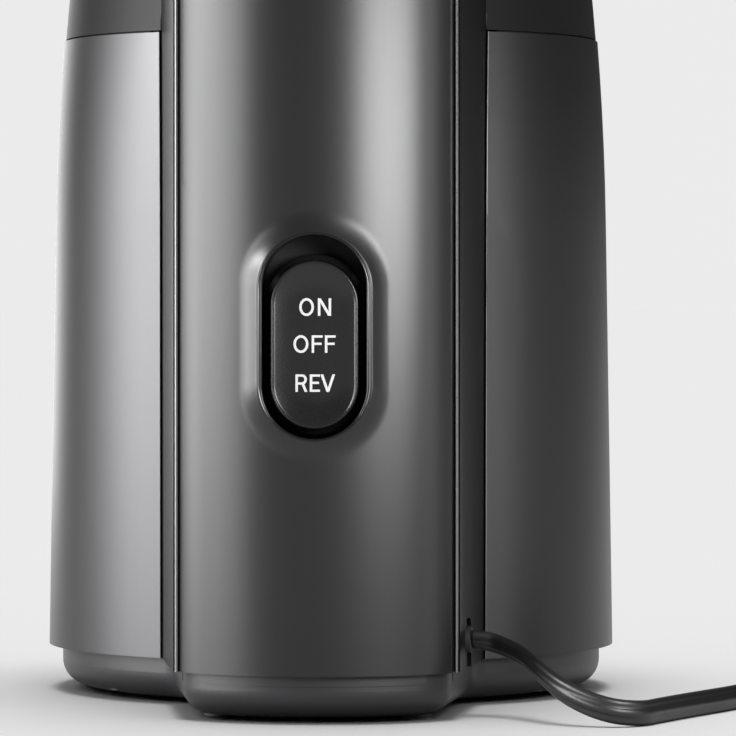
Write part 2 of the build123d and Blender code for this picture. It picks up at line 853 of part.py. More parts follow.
def make_motor_bracket(face, seat, towards):
    """End bracket: plate with a bearing seat, and a windowed skirt that lands on the laminations."""
    low, high = sorted((face, seat))
    plate_low, plate_high = sorted((seat, seat + towards * bracket_plate))
    bracket = disc(motor_radius, plate_low, plate_high)
    skirt = tube(motor_radius, motor_radius - bracket_skirt, low, high)
    for angle in (45, 135, 225, 315):
        window = Rot(0, 0, angle) * block(30, 60, -18, 18, low + 2, high - 2)
        skirt -= window
    bracket += skirt
    bracket -= disc(bearing_radius - 3, plate_low - 1, plate_high + 1)
    bore_low, bore_high = sorted((seat + towards * 1.0, seat + towards * (bracket_plate + 1)))
    bracket -= disc(bearing_radius, bore_low, bore_high)
    for angle in (0, 90, 180, 270):
        x, y = around(angle, tie_circle)
        bracket -= disc(tie_radius + screw_clearance, plate_low - 30, plate_high + 30, x, y)
    return bracket


def make_motor_screws():
    low = stator_low - bracket_reach - bracket_plate
    screws = []
    for angle in (0, 90, 180, 270):
        x, y = around(angle, tie_circle)
        screws.append(
            disc(tie_radius, low, gearbox_low + 2.5, x, y) + disc(tie_radius + 1.2, low - 2, low, x, y)
        )
    return Compound(screws)


def make_motor_bearings():
    top = stator_high + bracket_reach + 1.0
    bottom = stator_low - bracket_reach - 1.0
    shaft = shaft_radius + running
    return Compound(
        [
            tube(bearing_radius, shaft, top, top + bearing_width),
            tube(bearing_radius, shaft, bottom - bearing_width, bottom),
        ]
    )


def make_rotor_core():
    core = tube(stator_bore - air_gap, shaft_radius + 0.02, stator_low, stator_high)
    core += tube(stator_bore - 6, shaft_radius + 6, stator_low - 4, stator_high + 4)
    return core


def make_motor_shaft():
    return disc(shaft_radius, shaft_low, gear_high + 0.5)


def make_cooling_fan():
    fan = disc(9.0, fan_low, fan_low + fan_height)
    for index in range(fan_blades):
        blade = Pos((fan_radius + 8) / 2, 0, fan_low + fan_height / 2) * Rot(28, 0, 0) * Box(
            fan_radius - 8, 1.6, fan_height - 2
        )
        fan += Rot(0, 0, index * 360 / fan_blades) * blade
    return fan - disc(shaft_radius + 0.02, fan_low - 1, fan_low + fan_height + 1)


# ------------------------------------------------------------------ gearbox
def gear_outline(teeth, internal=False, phase=0.0):
    """Closed outline of an involute-based gear; an internal one is the outline of its tooth spaces."""
    pitch = gear_module * teeth / 2
    base = pitch * math.cos(math.radians(pressure_angle))
    play = tooth_backlash / 2 if internal else -tooth_backlash / 2
    tip_add = (tooth_dedendum if internal else tooth_addendum) * gear_module
    root_cut = (tooth_addendum if internal else tooth_dedendum) * gear_module
    half_pitch_angle = (math.pi * gear_module / 4 + play) / pitch

    def involute(radius):
        angle = math.acos(min(1.0, base / radius))
        return math.tan(angle) - angle

    def half_angle(radius):
        return half_pitch_angle + involute(pitch) - involute(max(radius, base))

    levels = (pitch - root_cut, pitch + tip_add)
    points = []
    for index in range(teeth):
        centre = phase + 2 * math.pi * index / teeth
        for side, order in ((-1, levels), (1, levels[::-1])):
            for radius in order:
                angle = centre + side * half_angle(radius)
                points.append((radius * math.cos(angle), radius * math.sin(angle)))
    return points


def gear_prism(teeth, low, high, internal=False, phase=0.0):
    return plan(gear_outline(teeth, internal, phase), low, high)


def make_sun_pinion():
    return gear_prism(sun_teeth, gear_low, gear_high) - disc(shaft_radius + 0.02, gear_low, gear_high)


def make_planet(index):
    """Stepped planet: the large gear meshes with the sun, the small one with the ring."""
    large = gear_prism(large_teeth, gear_low, gear_high, phase=math.pi / large_teeth)
    small = gear_prism(small_teeth, gear_high, small_high)
    planet = large + small + disc(6.0, gear_high, small_low + 1)
    planet -= disc(pin_radius + running, gear_low, small_high)
    return Rot(0, 0, index * 360 / planets) * Pos(planet_circle, 0, 0) * planet


def make_ring_gear():
    ring = disc(gearbox_radius, small_low, small_high + 0.5)
    ring -= gear_prism(ring_teeth, small_low - 1, small_high + 2, internal=True, phase=0.0)
    for angle in stack_angles:
        x, y = around(angle, gearbox_screw_circle)
        ring -= disc(screw_radius + screw_clearance, small_low, small_high + 1, x, y)
    return ring


def make_gearbox_housing():
    housing = disc(gearbox_radius, gearbox_low, small_low)
    housing -= disc(gearbox_cavity, gearbox_low + gearbox_floor, small_low)
    housing -= disc(gear_module * sun_teeth / 2 + 2.0, gearbox_low, gearbox_low + gearbox_floor)
    for angle in stack_angles:
        x, y = around(angle, gearbox_screw_circle)
        housing -= disc(screw_radius + screw_clearance, gearbox_low, small_low, x, y)
    for angle in (0, 90, 180, 270):
        x, y = around(angle, tie_circle)
        housing -= disc(tie_radius + thread_clearance, gearbox_low, gearbox_low + 3, x, y)
    return housing


def make_gearbox_cover():
    low = small_high + 0.5
    cover = disc(gearbox_radius, low, deck_low)
    cover -= disc(gearbox_cavity - 8, low, deck_low - bearing_width)
    cover -= disc(output_bearing_radius, low, deck_low)
    for angle in stack_angles:
        x, y = around(angle, gearbox_screw_circle)
        cover -= disc(screw_radius + screw_clearance, low, deck_low, x, y)
    return cover


def make_gearbox_screws():
    screws = []
    for angle in stack_angles:
        x, y = around(angle, gearbox_screw_circle)
        shank = disc(screw_radius, gearbox_low, deck_low + 4, x, y)
        screws.append(shank + disc(screw_head_radius - 0.2, gearbox_low - 2.4, gearbox_low, x, y))
    return Compound(screws)


def make_planet_carrier():
    carrier = disc(carrier_radius, carrier_low, carrier_high)
    for index in range(planets):
        x, y = around(index * 360 / planets, planet_circle)
        carrier += disc(pin_radius, gear_low - 1.2, carrier_low, x, y)
        carrier += tube(pin_radius + 1.6, pin_radius, small_high + 0.2, carrier_low, x, y)
        gap_x, gap_y = around(60 + index * 360 / planets, planet_circle)
        carrier -= disc(6.0, carrier_low, carrier_high, gap_x, gap_y)
    return carrier - hex_bar(carrier_low, carrier_high, 0.02)


def make_planet_clips():
    clips = []
    for index in range(planets):
        x, y = around(index * 360 / planets, planet_circle)
        clips.append(tube(pin_radius + 1.8, pin_radius + 0.01, gear_low - 1.2, gear_low - 0.2, x, y))
    return Compound(clips)


def hex_bar(low, high, grow=0.0):
    corner = (hex_flats / 2 + grow) / math.cos(math.pi / 6)
    return Pos(0, 0, low) * extrude(RegularPolygon(corner, 6), high - low)


def make_drive_shaft():
    shaft = hex_bar(carrier_low, hex_top)
    shaft = chamfer(level_edges(shaft, hex_top), 1.2)
    return shaft + disc(output_radius - running, carrier_high, bowl_floor_low - 1.5)


def make_output_bearing():
    return tube(output_bearing_radius, output_radius, deck_low - bearing_width, deck_low)


def make_shaft_seal():
    return turned(
        [
            (output_radius + 0.1, deck_low),
            (output_bearing_radius, deck_low),
            (output_bearing_radius, bowl_floor_low - seam - 1.4),
            (output_radius + 4.0, bowl_floor_low - seam - 1.4),
            (output_radius + 0.1, deck_low + 5.0),
        ]
    )


# ------------------------------------------------------------------ juicing bowl, strainer and auger
def bowl_outer():
    """Outer form of the bowl, solid, with the foot that drops over the deck's seat."""
    return turned(
        [
            (0, bowl_floor_low),
            (bowl_foot_radius - 3.5, bowl_floor_low),
            (bowl_foot_radius - 3.5, deck_top + seam),
            (bowl_foot_radius, deck_top + seam),
            (bowl_foot_radius, bowl_floor_top),
            (bowl_rim_radius, bowl_rim),
            (0, bowl_rim),
        ]
    )


def rounded_bar(half_width, near, far, low, high, radius, axis):
    """Bar along X or Y with rounded corners, the outline of a duct or of the way through it."""
    if axis == Axis.X:
        bar = block(near, far, -half_width, half_width, low, high)
    else:
        bar = block(-half_width, half_width, near, far, low, high)
    return fillet(bar.edges().filter_by(axis), radius)


def juice_way(near, far):
    reach = spout_half_height - spout_wall
    return rounded_bar(
        spout_half_width - spout_wall, near, far, spout_height - reach, spout_height + reach, 2.0, Axis.X
    )


def pulp_way(near, far, inset, radius):
    return rounded_bar(
        duct_half_width - inset, near, far, duct_low + inset, duct_high - inset, radius, Axis.Y
    )


def make_juicing_bowl():
    cavity = turned(
        [
            (0, bowl_floor_top),
            (bowl_foot_radius - bowl_wall, bowl_floor_top),
            (bowl_rim_radius - bowl_wall, bowl_rim + 1),
            (0, bowl_rim + 1),
        ]
    )
    bowl = bowl_outer() - cavity
    bowl += disc(hub_bore + hub_wall, bowl_floor_low, hub_top)
    bowl -= disc(hub_bore, bowl_floor_low - 1, hub_top + 1)
    bowl -= juice_way(-bowl_foot_radius - bowl_flare, -bowl_foot_radius + 2 * bowl_wall)
    return bowl - pulp_way(strainer_high_radius, bowl_foot_radius + bowl_flare, 0, spout_wall)


def make_juice_spout():
    """Rectangular spout on the bowl's side, with two ears that hold the cap's hinge pin above its mouth."""
    low, high = spout_height - spout_half_height, spout_height + spout_half_height
    inner = -bowl_foot_radius + bowl_flare
    spout = rounded_bar(spout_half_width, -spout_reach, inner, low, high, 4.0, Axis.X)
    knuckle_radius = 2 * hinge_radius
    for side in (-1, 1):
        y_low, y_high = sorted((side * ear_inner, side * (ear_inner + ear_width)))
        ear = block(
            -hinge_reach - knuckle_radius, -hinge_reach + knuckle_radius + 2.0, y_low, y_high,
            high - 1, hinge_height,
        )
        nose = Pos(-hinge_reach, (y_low + y_high) / 2, hinge_height) * Rot(90, 0, 0) * Cylinder(
            knuckle_radius, ear_width
        )
        spout += ear + nose
    spout -= bowl_outer()
    spout -= juice_way(-spout_reach - 1, inner + 1)
    pin_hole = Pos(-hinge_reach, 0, hinge_height) * Rot(90, 0, 0) * Cylinder(
        hinge_radius + running, 2 * (ear_inner + ear_width) + 2
    )
    return spout - pin_hole


def make_pulp_duct():
    """Rectangular duct from the strainer's foot out through the bowl's wall."""
    inner = strainer_low_radius + seam + 1.2
    duct = pulp_way(inner, duct_reach, 0, spout_wall)
    return duct - pulp_way(inner - 1, duct_reach + 1, duct_wall, duct_wall / 2)


def make_hub_seal():
    return turned(
        [
            (auger_stem_radius + 0.15, hub_top),
            (hub_bore + hub_wall, hub_top),
            (hub_bore + hub_wall - 0.8, hub_top + 1.8),
            (auger_stem_radius + 0.15, hub_top + 1.8),
        ]
    )


def make_spout_cap():
    """Flap over the spout's mouth, hung from a knuckle on the hinge pin."""
    mouth = spout_reach + seam
    half = spout_half_width + 1.0
    plate = block(
        -mouth - cap_plate, -mouth, -half, half,
        spout_height - spout_half_height - 1.0, spout_height + spout_half_height + 1.0,
    )
    plate = fillet(plate.edges().filter_by(Axis.X), 4.0)
    lift = block(
        -mouth - cap_plate, -mouth, -6, 6, spout_height + spout_half_height - 1, hinge_height + 1.2
    )
    arm = block(
        -mouth - cap_plate, -hinge_reach - 1.0, -6, 6, hinge_height - 2.4, hinge_height + 2.4
    )
    knuckle = Pos(-hinge_reach, 0, hinge_height) * Rot(90, 0, 0) * Cylinder(3.0, 2 * (ear_inner - 0.4))
    hole = Pos(-hinge_reach, 0, hinge_height) * Rot(90, 0, 0) * Cylinder(hinge_radius, 40)
    thumb = block(-mouth - cap_plate - 7, -mouth - 1, -8, 8, spout_height + 6, spout_height + 9)
    return plate + lift + arm + knuckle + thumb - hole


def make_spout_cap_seal():
    half_y = spout_half_width - spout_wall - 0.6
    half_z = spout_half_height - spout_wall - 0.6
    mouth = spout_reach + seam
    seal = block(
        -mouth, -mouth + 2.4, -half_y, half_y, spout_height - half_z, spout_height + half_z
    )
    return fillet(seal.edges().filter_by(Axis.X), 1.6)


def make_spout_pin():
    return Pos(-hinge_reach, 0, hinge_height) * Rot(90, 0, 0) * Cylinder(
        hinge_radius, 2 * (ear_inner + ear_width)
    )


def make_strainer():
    floor_low = bowl_floor_top + seam
    floor_high = floor_low + strainer_floor
    strainer = turned(
        [
            (hub_bore + hub_wall + 0.7, floor_low),
            (strainer_low_radius, floor_low),
            (strainer_high_radius, strainer_top - 2.0),
            (bowl_rim_radius - bowl_wall - 0.8, strainer_top - 2.0),
            (bowl_rim_radius - bowl_wall - 0.8, strainer_top),
            (strainer_high_radius - strainer_wall, strainer_top),
            (strainer_low_radius - strainer_wall, floor_high),
            (hub_bore + hub_wall + 0.7, floor_high),
        ]
    )
    wide = strainer_high_radius + 4
    for row in range(slot_rows):
        row_low = bowl_floor_top + slot_low + row * slot_pitch
        for index in range(slot_columns):
            angle = (index + 0.5) * 360 / slot_columns
            slot = block(
                strainer_low_radius - 6, wide, -slot_width / 2, slot_width / 2, row_low, row_low + slot_height
            )
            strainer -= Rot(0, 0, angle) * slot
    inside = duct_half_width - duct_wall
    port = block(
        -inside, inside, strainer_low_radius - 4 * strainer_wall, wide, duct_low + duct_wall, duct_high - duct_wall
    )
    return strainer - port


def make_auger():
    """Squeezing screw: stem with a hex socket, tapering core and one rising flight."""
    core = turned(
        [
            (0, auger_low),
            (auger_stem_radius, auger_low),
            (auger_stem_radius, auger_base),
            (auger_core_radius, auger_base),
            (auger_core_radius - 1.5, auger_base + 8),
            (16.0, auger_top - 14),
            (13.0, auger_top),
            (0, auger_top),
        ]
    )
    rise = auger_pitch * auger_turns
    flight_low = auger_base + auger_flight_thickness / 2
    middle = (auger_flight_radius + 10) / 2
    path = Pos(0, 0, flight_low) * Helix(auger_pitch, rise, middle)
    section = Plane(origin=path @ 0, z_dir=path % 0, x_dir=(1, 0, 0)) * Rectangle(
        auger_flight_radius - 10, auger_flight_thickness
    )
    flight = sweep(section, path, is_frenet=True)
    flight &= tube(auger_flight_radius, 8, auger_base, auger_top)
    auger = core + flight
    return auger - hex_bar(auger_low - 1, hex_top + 2, hex_clearance)


# ------------------------------------------------------------------ lid and pusher
def lid_outer():
    """Outer form of the lid below the chute, solid."""
    return turned(
        [
            (0, lid_seat - lid_skirt_drop),
            (lid_skirt_radius, lid_seat - lid_skirt_drop),
            (lid_skirt_radius, lid_seat + 2.0),
            (bowl_rim_radius, lid_seat + 5.5),
            (chute_bore + chute_wall + chute_foot, throat_height),
            (0, throat_height),
        ]
    )


def make_hopper_lid():
    seal_back = seal_lip - 2.2
    inner = turned(
        [
            (0, lid_seat - lid_skirt_drop - 1),
            (bowl_rim_radius + lid_gap, lid_seat - lid_skirt_drop - 1),
            (bowl_rim_radius + lid_gap, lid_seat),
            (seal_lip, lid_seat),
            (seal_lip, lid_seat - 4.6),
            (seal_back, lid_seat - 4.6),
            (seal_back, lid_seat + 2.5),
            (chute_bore, throat_height - 2.0),
            (chute_bore, throat_height + 1),
            (0, throat_height + 1),
        ]
    )
    return lid_outer() - inner


def make_feed_chute():
    outer = chute_bore + chute_wall
    return turned(
        [
            (chute_bore, throat_height),
            (outer + chute_foot, throat_height),
            (outer, throat_height + 4),
            (outer, chute_top - 5),
            (flare_radius, chute_top),
            (flare_radius - chute_wall - 1.0, chute_top),
            (chute_bore, chute_top - 4),
        ]
    )


def make_lid_tab():
    """Tab over the tower, with a pocket for the magnet that tells the sensor that the lid is on."""
    tab = block(-tab_half, tab_half, -tab_reach, -tab_reach / 2, tab_low, tab_high)
    tab = fillet([e for e in tab.edges().filter_by(Axis.Z) if e.center().Y < -tab_reach + 1], 8.0)
    pocket = disc(magnet_radius + 0.1, magnet_low, tab_high + 1, 0, -magnet_depth)
    return tab - lid_outer() - pocket


def make_lid_seal():
    return tube(seal_lip + 2.8, seal_lip, lid_seat - 4.2, lid_seat)


def make_lid_magnet():
    return disc(magnet_radius, magnet_low, magnet_low + magnet_height, 0, -magnet_depth)


def make_pusher():
    outer = chute_bore - pusher_gap
    rest = chute_top + seam
    return turned(
        [
            (outer, pusher_low + 3),
            (outer, rest),
            (flare_radius - 1.5, rest),
            (flare_radius - 1.0, rest + 3.5),
            (36.0, rest + 6.5),
            (31.5, rest + 11.0),
            (34.5, pusher_top - 5.0),
            (31.0, pusher_top - 1.0),
            (20.0, pusher_top),
            (0, pusher_top),
            (0, pusher_top - 4),
            (28.0, pusher_top - 4),
            (28.0, rest + 4),
            (outer - pusher_wall, rest),
            (outer - pusher_wall, pusher_low + 3),
        ]
    )


def make_pusher_foot():
    outer = chute_bore - pusher_gap
    return turned(
        [
            (0, pusher_low),
            (outer - 1.0, pusher_low),
            (outer, pusher_low + 1),
            (outer, pusher_low + 3),
            (outer - pusher_wall - 0.02, pusher_low + 3),
            (outer - pusher_wall - 0.02, pusher_low + 8),
            (0, pusher_low + 8),
        ]
    )


# ------------------------------------------------------------------ cord, grommet and plug
# Points of the cord's middle from outside the grommet to the coil, chosen by hand.
lead_points = [
    (54.0, -112.3, 21.4),
    (62.0, -120.5, 18.2),
    (66.5, -132.5, 14.2),
    (73.5, -144.0, 9.2),
    (85.0, -150.5, 4.9),
    (95.0, -147.5, 3.75),
    (100.5, -135.0, 3.75),
    (111.5, -113.0, 3.75),
    (124.0, -90.0, 3.75),
    (134.0, -66.0, 3.75),
    (152.0, -51.0, 3.75),
    (166.0, -48.0, 3.75),
    (177.0, -48.0, 3.75),
]
coil_x = 190.0
coil_y = -100.0
coil_outer = 52.0
coil_turns = 3.25
coil_pitch = 4.2
top_layer_radius = 43.0
top_layer_start = -75.0
top_layer_end = -300.0


def wall_frame():
    """Frame on the column's right wall at the exit: x out of the wall, y along it towards the axis, z up."""
    run = math.hypot(column_front_half - column_root_half, column_front_depth - column_root_depth)
    along_x = (column_root_half - column_front_half) / run
    along_y = (column_front_depth - column_root_depth) / run
    origin = (column_half(exit_depth), -exit_depth, 0)
    return Plane(origin=origin, x_dir=(along_y, -along_x, 0), z_dir=(0, 0, 1))


def make_cord_grommet():
    """Strain relief that fills the notch in the wall, a little below its face, with a collar round the cord."""
    frame = wall_frame()
    half = notch_width / 2 - 0.25
    top = notch_top - 0.3
    body = block(-column_wall - 4.5, -notch_recess, -half, half, column_bottom, top)
    body = frame * fillet([e for e in level_edges(body, top) if abs(e.tangent_at(0).X) > 0.9], 3.75)
    body += frame * block(-column_wall - 4.5, -column_wall - 0.8, -half - 2.5, half + 2.5, lip_top + 0.3, top + 2.0)
    collar = frame * Pos(0, 0, exit_height) * Rot(0, 90, 0) * extrude(Circle(cord_width / 2 + 0.2), 1.0)
    stub = frame * Pos(-notch_recess - 1, 0, exit_height) * Rot(0, 90, 0) * extrude(
        Circle(cord_width / 2 + 0.2), notch_recess + 1
    )
    body = body + stub + collar
    cut = frame * block(-12, 1.4, -half - 6, half + 6, 0, column_bottom)
    return body - cut


def corner_radii(points):
    """Arc at each inner corner: 0.45 of the shorter run over the tangent of half the turn."""
    radii = []
    for before, corner, after in zip(points, points[1:], points[2:]):
        run_in = Vector(*corner) - Vector(*before)
        run_out = Vector(*after) - Vector(*corner)
        turn = math.radians(run_in.get_angle(run_out))
        radii.append(0.45 * min(run_in.length, run_out.length) / math.tan(turn / 2))
    return radii


def make_cord_lead():
    frame = wall_frame()
    start = frame.from_local_coords((1.0, 0, exit_height))
    straight = frame.from_local_coords((4.4, 0, exit_height))
    points = [tuple(start), tuple(straight)] + lead_points
    radii = corner_radii(points)
    print("cord radii:", [round(radius, 1) for radius in radii])
    path = FilletPolyline(*points, radius=radii)
    section = Plane(origin=path @ 0, z_dir=path % 0) * Circle(cord_width / 2)
    lead = sweep(section, path)
    print("cord lead volume over section times length:", round(lead.volume / (section.area * path.length), 4))
    print("cord lead length:", round(path.length, 1))
    return lead


def make_cord_coil():
    """Outer form of the wound cord: a flat ring of turns on edge, and a part turn on top that ends at the plug."""
    half = cord_width / 2
    inner = coil_outer - coil_turns * coil_pitch - cord_thickness / 2
    outer = coil_outer + cord_thickness / 2
    turn = [around(90 - step, outer - coil_pitch * step / 360) for step in range(0, 361, 30)]
    spiral = make_face(Spline(*turn) + Line(turn[-1], turn[0]))
    coil = Pos(coil_x, coil_y, 0) * extrude(spiral, cord_width) - disc(inner, 0, cord_width, coil_x, coil_y)
    coil += block(lead_points[-1][0], coil_x, coil_y + coil_outer - half, coil_y + coil_outer + half, 0, cord_width)
    layer = tube(top_layer_radius + half, top_layer_radius - half, cord_width, 2 * cord_width)
    span = top_layer_start - top_layer_end
    keep = []
    for step in range(9):
        keep.append(around(top_layer_end + span * step / 8, 2 * coil_outer))
    layer &= plan([(0, 0)] + keep, cord_width, 2 * cord_width)
    return coil + Pos(coil_x, coil_y, 0) * layer


def plug_frame():
    """Frame where the coil's last turn meets the plug: x along the cord, z up."""
    x, y = around(top_layer_end, top_layer_radius)
    heading = math.radians(top_layer_end - 90)
    origin = (coil_x + x, coil_y + y, cord_width)
    return Plane(origin=origin, x_dir=(math.cos(heading), math.sin(heading), 0), z_dir=(0, 0, 1))


plug_tail = 14.0
plug_length = 27.0
plug_width = 24.0
plug_height = 17.0


def make_plug_body():
    middle = plug_height / 2
    tail_low = Plane(origin=(0, 0, middle), z_dir=(1, 0, 0), x_dir=(0, 1, 0)) * Circle(4.6)
    tail_high = Plane(origin=(plug_tail, 0, middle), z_dir=(1, 0, 0), x_dir=(0, 1, 0)) * Circle(8.0)
    tail = loft([tail_low.face(), tail_high.face()])
    body = block(plug_tail, plug_tail + plug_length, -plug_width / 2, plug_width / 2, 0, plug_height)
    body = fillet(body.edges().filter_by(Axis.X), 4.0)
    body = fillet([e for e in body.edges() if e.center().X < plug_tail + 0.01], 2.5)
    return plug_frame() * (tail + body)


def make_plug_pins():
    face = plug_tail + plug_length
    middle = plug_height / 2
    pins = [block(face, face + 17, y - 0.75, y + 0.75, middle - 5.2, middle + 1.2) for y in (-6.35, 6.35)]
    ground = Pos(face, 0, middle + 4.2) * Rot(0, 90, 0) * extrude(Circle(2.4), 20)
    return plug_frame() * Compound(pins + [ground])


# ------------------------------------------------------------------ all pieces
def make_pieces():
    top_face = stator_high
    pieces = {
        "base_tray": make_base_tray(),
        "rubber_feet": make_rubber_feet(),
        "base_screws": make_base_screws(),
        "body_shell": make_body_shell(),
        "collar_deck": make_collar_deck(),
        "column_housing": make_column_housing(),
        "column_trim": make_column_trim(),
        "column_front_panel": make_column_front_panel(),
        "column_cap": make_column_cap(),
        "switch_bezel": make_switch_bezel(),
        "rocker_cap": make_rocker_cap(),
        "switch_body": make_switch_body(),
        "control_board": make_control_board(),
        "board_parts": make_board_parts(),
        "run_capacitor": make_run_capacitor(),
        "lid_sensor": make_lid_sensor(),
        "motor_stator": make_motor_stator(),
        "motor_windings": make_motor_windings(),
        "motor_top_bracket": make_motor_bracket(top_face, top_face + bracket_reach, 1),
        "motor_bottom_bracket": make_motor_bracket(stator_low, stator_low - bracket_reach, -1),
        "motor_screws": make_motor_screws(),
        "motor_bearings": make_motor_bearings(),
        "rotor_core": make_rotor_core(),
        "motor_shaft": make_motor_shaft(),
        "cooling_fan": make_cooling_fan(),
        "sun_pinion": make_sun_pinion(),
        "gearbox_housing": make_gearbox_housing(),
        "ring_gear": make_ring_gear(),
        "gearbox_cover": make_gearbox_cover(),
        "gearbox_screws": make_gearbox_screws(),
        "planet_carrier": make_planet_carrier(),
        "planet_clips": make_planet_clips(),
        "drive_shaft": make_drive_shaft(),
        "output_bearing": make_output_bearing(),
        "shaft_seal": make_shaft_seal(),
        "juicing_bowl": make_juicing_bowl(),
        "juice_spout": make_juice_spout(),
        "pulp_duct": make_pulp_duct(),
        "hub_seal": make_hub_seal(),
        "spout_cap": make_spout_cap(),
        "spout_cap_seal": make_spout_cap_seal(),
        "spout_pin": make_spout_pin(),
        "strainer": make_strainer(),
        "auger": make_auger(),
        "hopper_lid": make_hopper_lid(),
        "feed_chute": make_feed_chute(),
        "lid_tab": make_lid_tab(),
        "lid_seal": make_lid_seal(),
        "lid_magnet": make_lid_magnet(),
        "pusher": make_pusher(),
        "pusher_foot": make_pusher_foot(),
        "cord_grommet": make_cord_grommet(),
        "cord_lead": make_cord_lead(),
        "cord_coil": make_cord_coil(),
        "plug_body": make_plug_body(),
        "plug_pins": make_plug_pins(),
    }
    for index in range(planets):
        pieces[f"planet_gear_{index + 1}"] = make_planet(index)
    return pieces


def footprint_shift():
    """Moves the middle of the footprint, the free cord left out, to the origin."""
    front = spout_reach + seam + cap_plate + 7
    return Pos((front - shell_foot_radius) / 2, (lip_depth - duct_reach) / 2, 0)


os.makedirs("parts", exist_ok=True)
for name, piece in make_pieces().items():
    export_step(footprint_shift() * piece, f"parts/{name}.step")
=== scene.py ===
import math

import bmesh
import bpy
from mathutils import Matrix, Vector


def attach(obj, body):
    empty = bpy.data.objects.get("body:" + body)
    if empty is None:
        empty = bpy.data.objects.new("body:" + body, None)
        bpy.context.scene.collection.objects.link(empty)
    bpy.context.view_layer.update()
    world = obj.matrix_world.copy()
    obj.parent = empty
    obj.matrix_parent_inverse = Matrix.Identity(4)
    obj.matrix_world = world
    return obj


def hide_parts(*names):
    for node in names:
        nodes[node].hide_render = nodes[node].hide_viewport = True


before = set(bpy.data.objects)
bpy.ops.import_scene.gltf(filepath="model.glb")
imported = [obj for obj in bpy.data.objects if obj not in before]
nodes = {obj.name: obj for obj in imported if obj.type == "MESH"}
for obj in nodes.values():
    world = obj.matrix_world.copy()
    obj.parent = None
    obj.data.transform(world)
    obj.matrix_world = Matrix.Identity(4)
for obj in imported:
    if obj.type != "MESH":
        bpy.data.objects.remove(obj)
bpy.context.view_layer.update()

scene = bpy.context.scene
mm = 0.001

# ---------------------------------------------------------------- room, floor and camera
# A pale painted board in a studio, with the camera low and far off, so that upright edges stay
# parallel. The wall behind the object is bright and the rest of the room is dim, which draws its
# outline.

drive_axis = Vector((14.3, 22.0, 0.0)) * mm


def linear(colour):
    """An sRGB hex colour as linear red, green, blue and an alpha of 1."""
    parts = [int(colour[i : i + 2], 16) / 255 for i in (1, 3, 5)]
    return [p / 12.92 if p <= 0.04045 else ((p + 0.055) / 1.055) ** 2.4 for p in parts] + [1.0]


def add(tree, kind, inputs=None, **settings):
    """Adds a node with its settings. Each of its inputs is linked to an output or set to a value."""
    made = tree.nodes.new(kind)
    for name, value in settings.items():
        setattr(made, name, value)
    for socket, source in (inputs or {}).items():
        if isinstance(source, bpy.types.NodeSocket):
            tree.links.new(source, made.inputs[socket])
        else:
            made.inputs[socket].default_value = source
    return made


picture_width = 736
focal_pixels = 4928
shift_pixels = (37, -76)
sensor_width = 36
view_yaw = math.radians(1.9)
view_distance = 1584 * mm
view_height = 126.5 * mm

camera = bpy.data.objects.new("camera", bpy.data.cameras.new("camera"))
scene.collection.objects.link(camera)
scene.camera = camera
camera.location = drive_axis + Vector(
    (view_distance * math.sin(view_yaw), -view_distance * math.cos(view_yaw), view_height)
)
camera.rotation_euler = (math.radians(90), 0, view_yaw)
camera.data.sensor_width = sensor_width
camera.data.lens = sensor_width * focal_pixels / picture_width
camera.data.shift_x = shift_pixels[0] / picture_width
camera.data.shift_y = shift_pixels[1] / picture_width
camera.data.clip_start = 0.05
camera.data.clip_end = 60
scene.view_settings.view_transform = "Standard"

# The walls' tones round a full turn, from straight behind by way of the left, the front and the right.
wall_tones = [(0.00, 1.0), (0.08, 0.02), (0.97, 0.02), (1.00, 0.8)]
wall_power = 1.4
ceiling_tone = (0.3, 0.3, 0.3, 1)
ceiling_starts, ceiling_full = 0.35, 0.85
room_tone = "#ebebeb"
seen_tone = [part / wall_power for part in linear(room_tone)]

world = bpy.data.worlds.new("studio_room")
scene.world = world
world.use_nodes = True
sky = world.node_tree
sky.nodes.clear()
direction = add(sky, "ShaderNodeTexCoord")
split = add(sky, "ShaderNodeSeparateXYZ", {0: direction.outputs["Generated"]})
ahead = add(sky, "ShaderNodeMath", {0: split.outputs["Y"], 1: -1.0}, operation="MULTIPLY")
azimuth = add(sky, "ShaderNodeMath", {0: split.outputs["X"], 1: ahead.outputs[0]}, operation="ARCTAN2")
turn_share = add(
    sky,
    "ShaderNodeMapRange",
    {"Value": azimuth.outputs[0], "From Min": -math.pi, "From Max": math.pi},
)
walls = add(sky, "ShaderNodeValToRGB", {"Fac": turn_share.outputs["Result"]})
stops = walls.color_ramp.elements
while len(stops) < len(wall_tones):
    stops.new(0.5)
for stop, (place, tone) in zip(stops, wall_tones):
    stop.position = place
    stop.color = (tone, tone, tone, 1)
height = add(
    sky,
    "ShaderNodeMapRange",
    {"Value": split.outputs["Z"], "From Min": ceiling_starts, "From Max": ceiling_full},
)
lit_room = add(
    sky,
    "ShaderNodeMix",
    {"Factor": height.outputs["Result"], 6: walls.outputs["Color"], 7: ceiling_tone},
    data_type="RGBA",
)
seen = add(sky, "ShaderNodeLightPath")
backdrop = add(
    sky,
    "ShaderNodeMix",
    {"Factor": seen.outputs["Is Camera Ray"], 6: lit_room.outputs[2], 7: seen_tone},
    data_type="RGBA",
)
glow = add(sky, "ShaderNodeBackground", {"Color": backdrop.outputs[2], "Strength": wall_power})
add(sky, "ShaderNodeOutputWorld", {"Surface": glow.outputs[0]})

floor_half = 30
floor_mesh = bpy.data.meshes.new("floor")
board = bmesh.new()
bmesh.ops.create_grid(board, x_segments=1, y_segments=1, size=floor_half)
board.to_mesh(floor_mesh)
board.free()
floor = bpy.data.objects.new("floor", floor_mesh)
scene.collection.objects.link(floor)

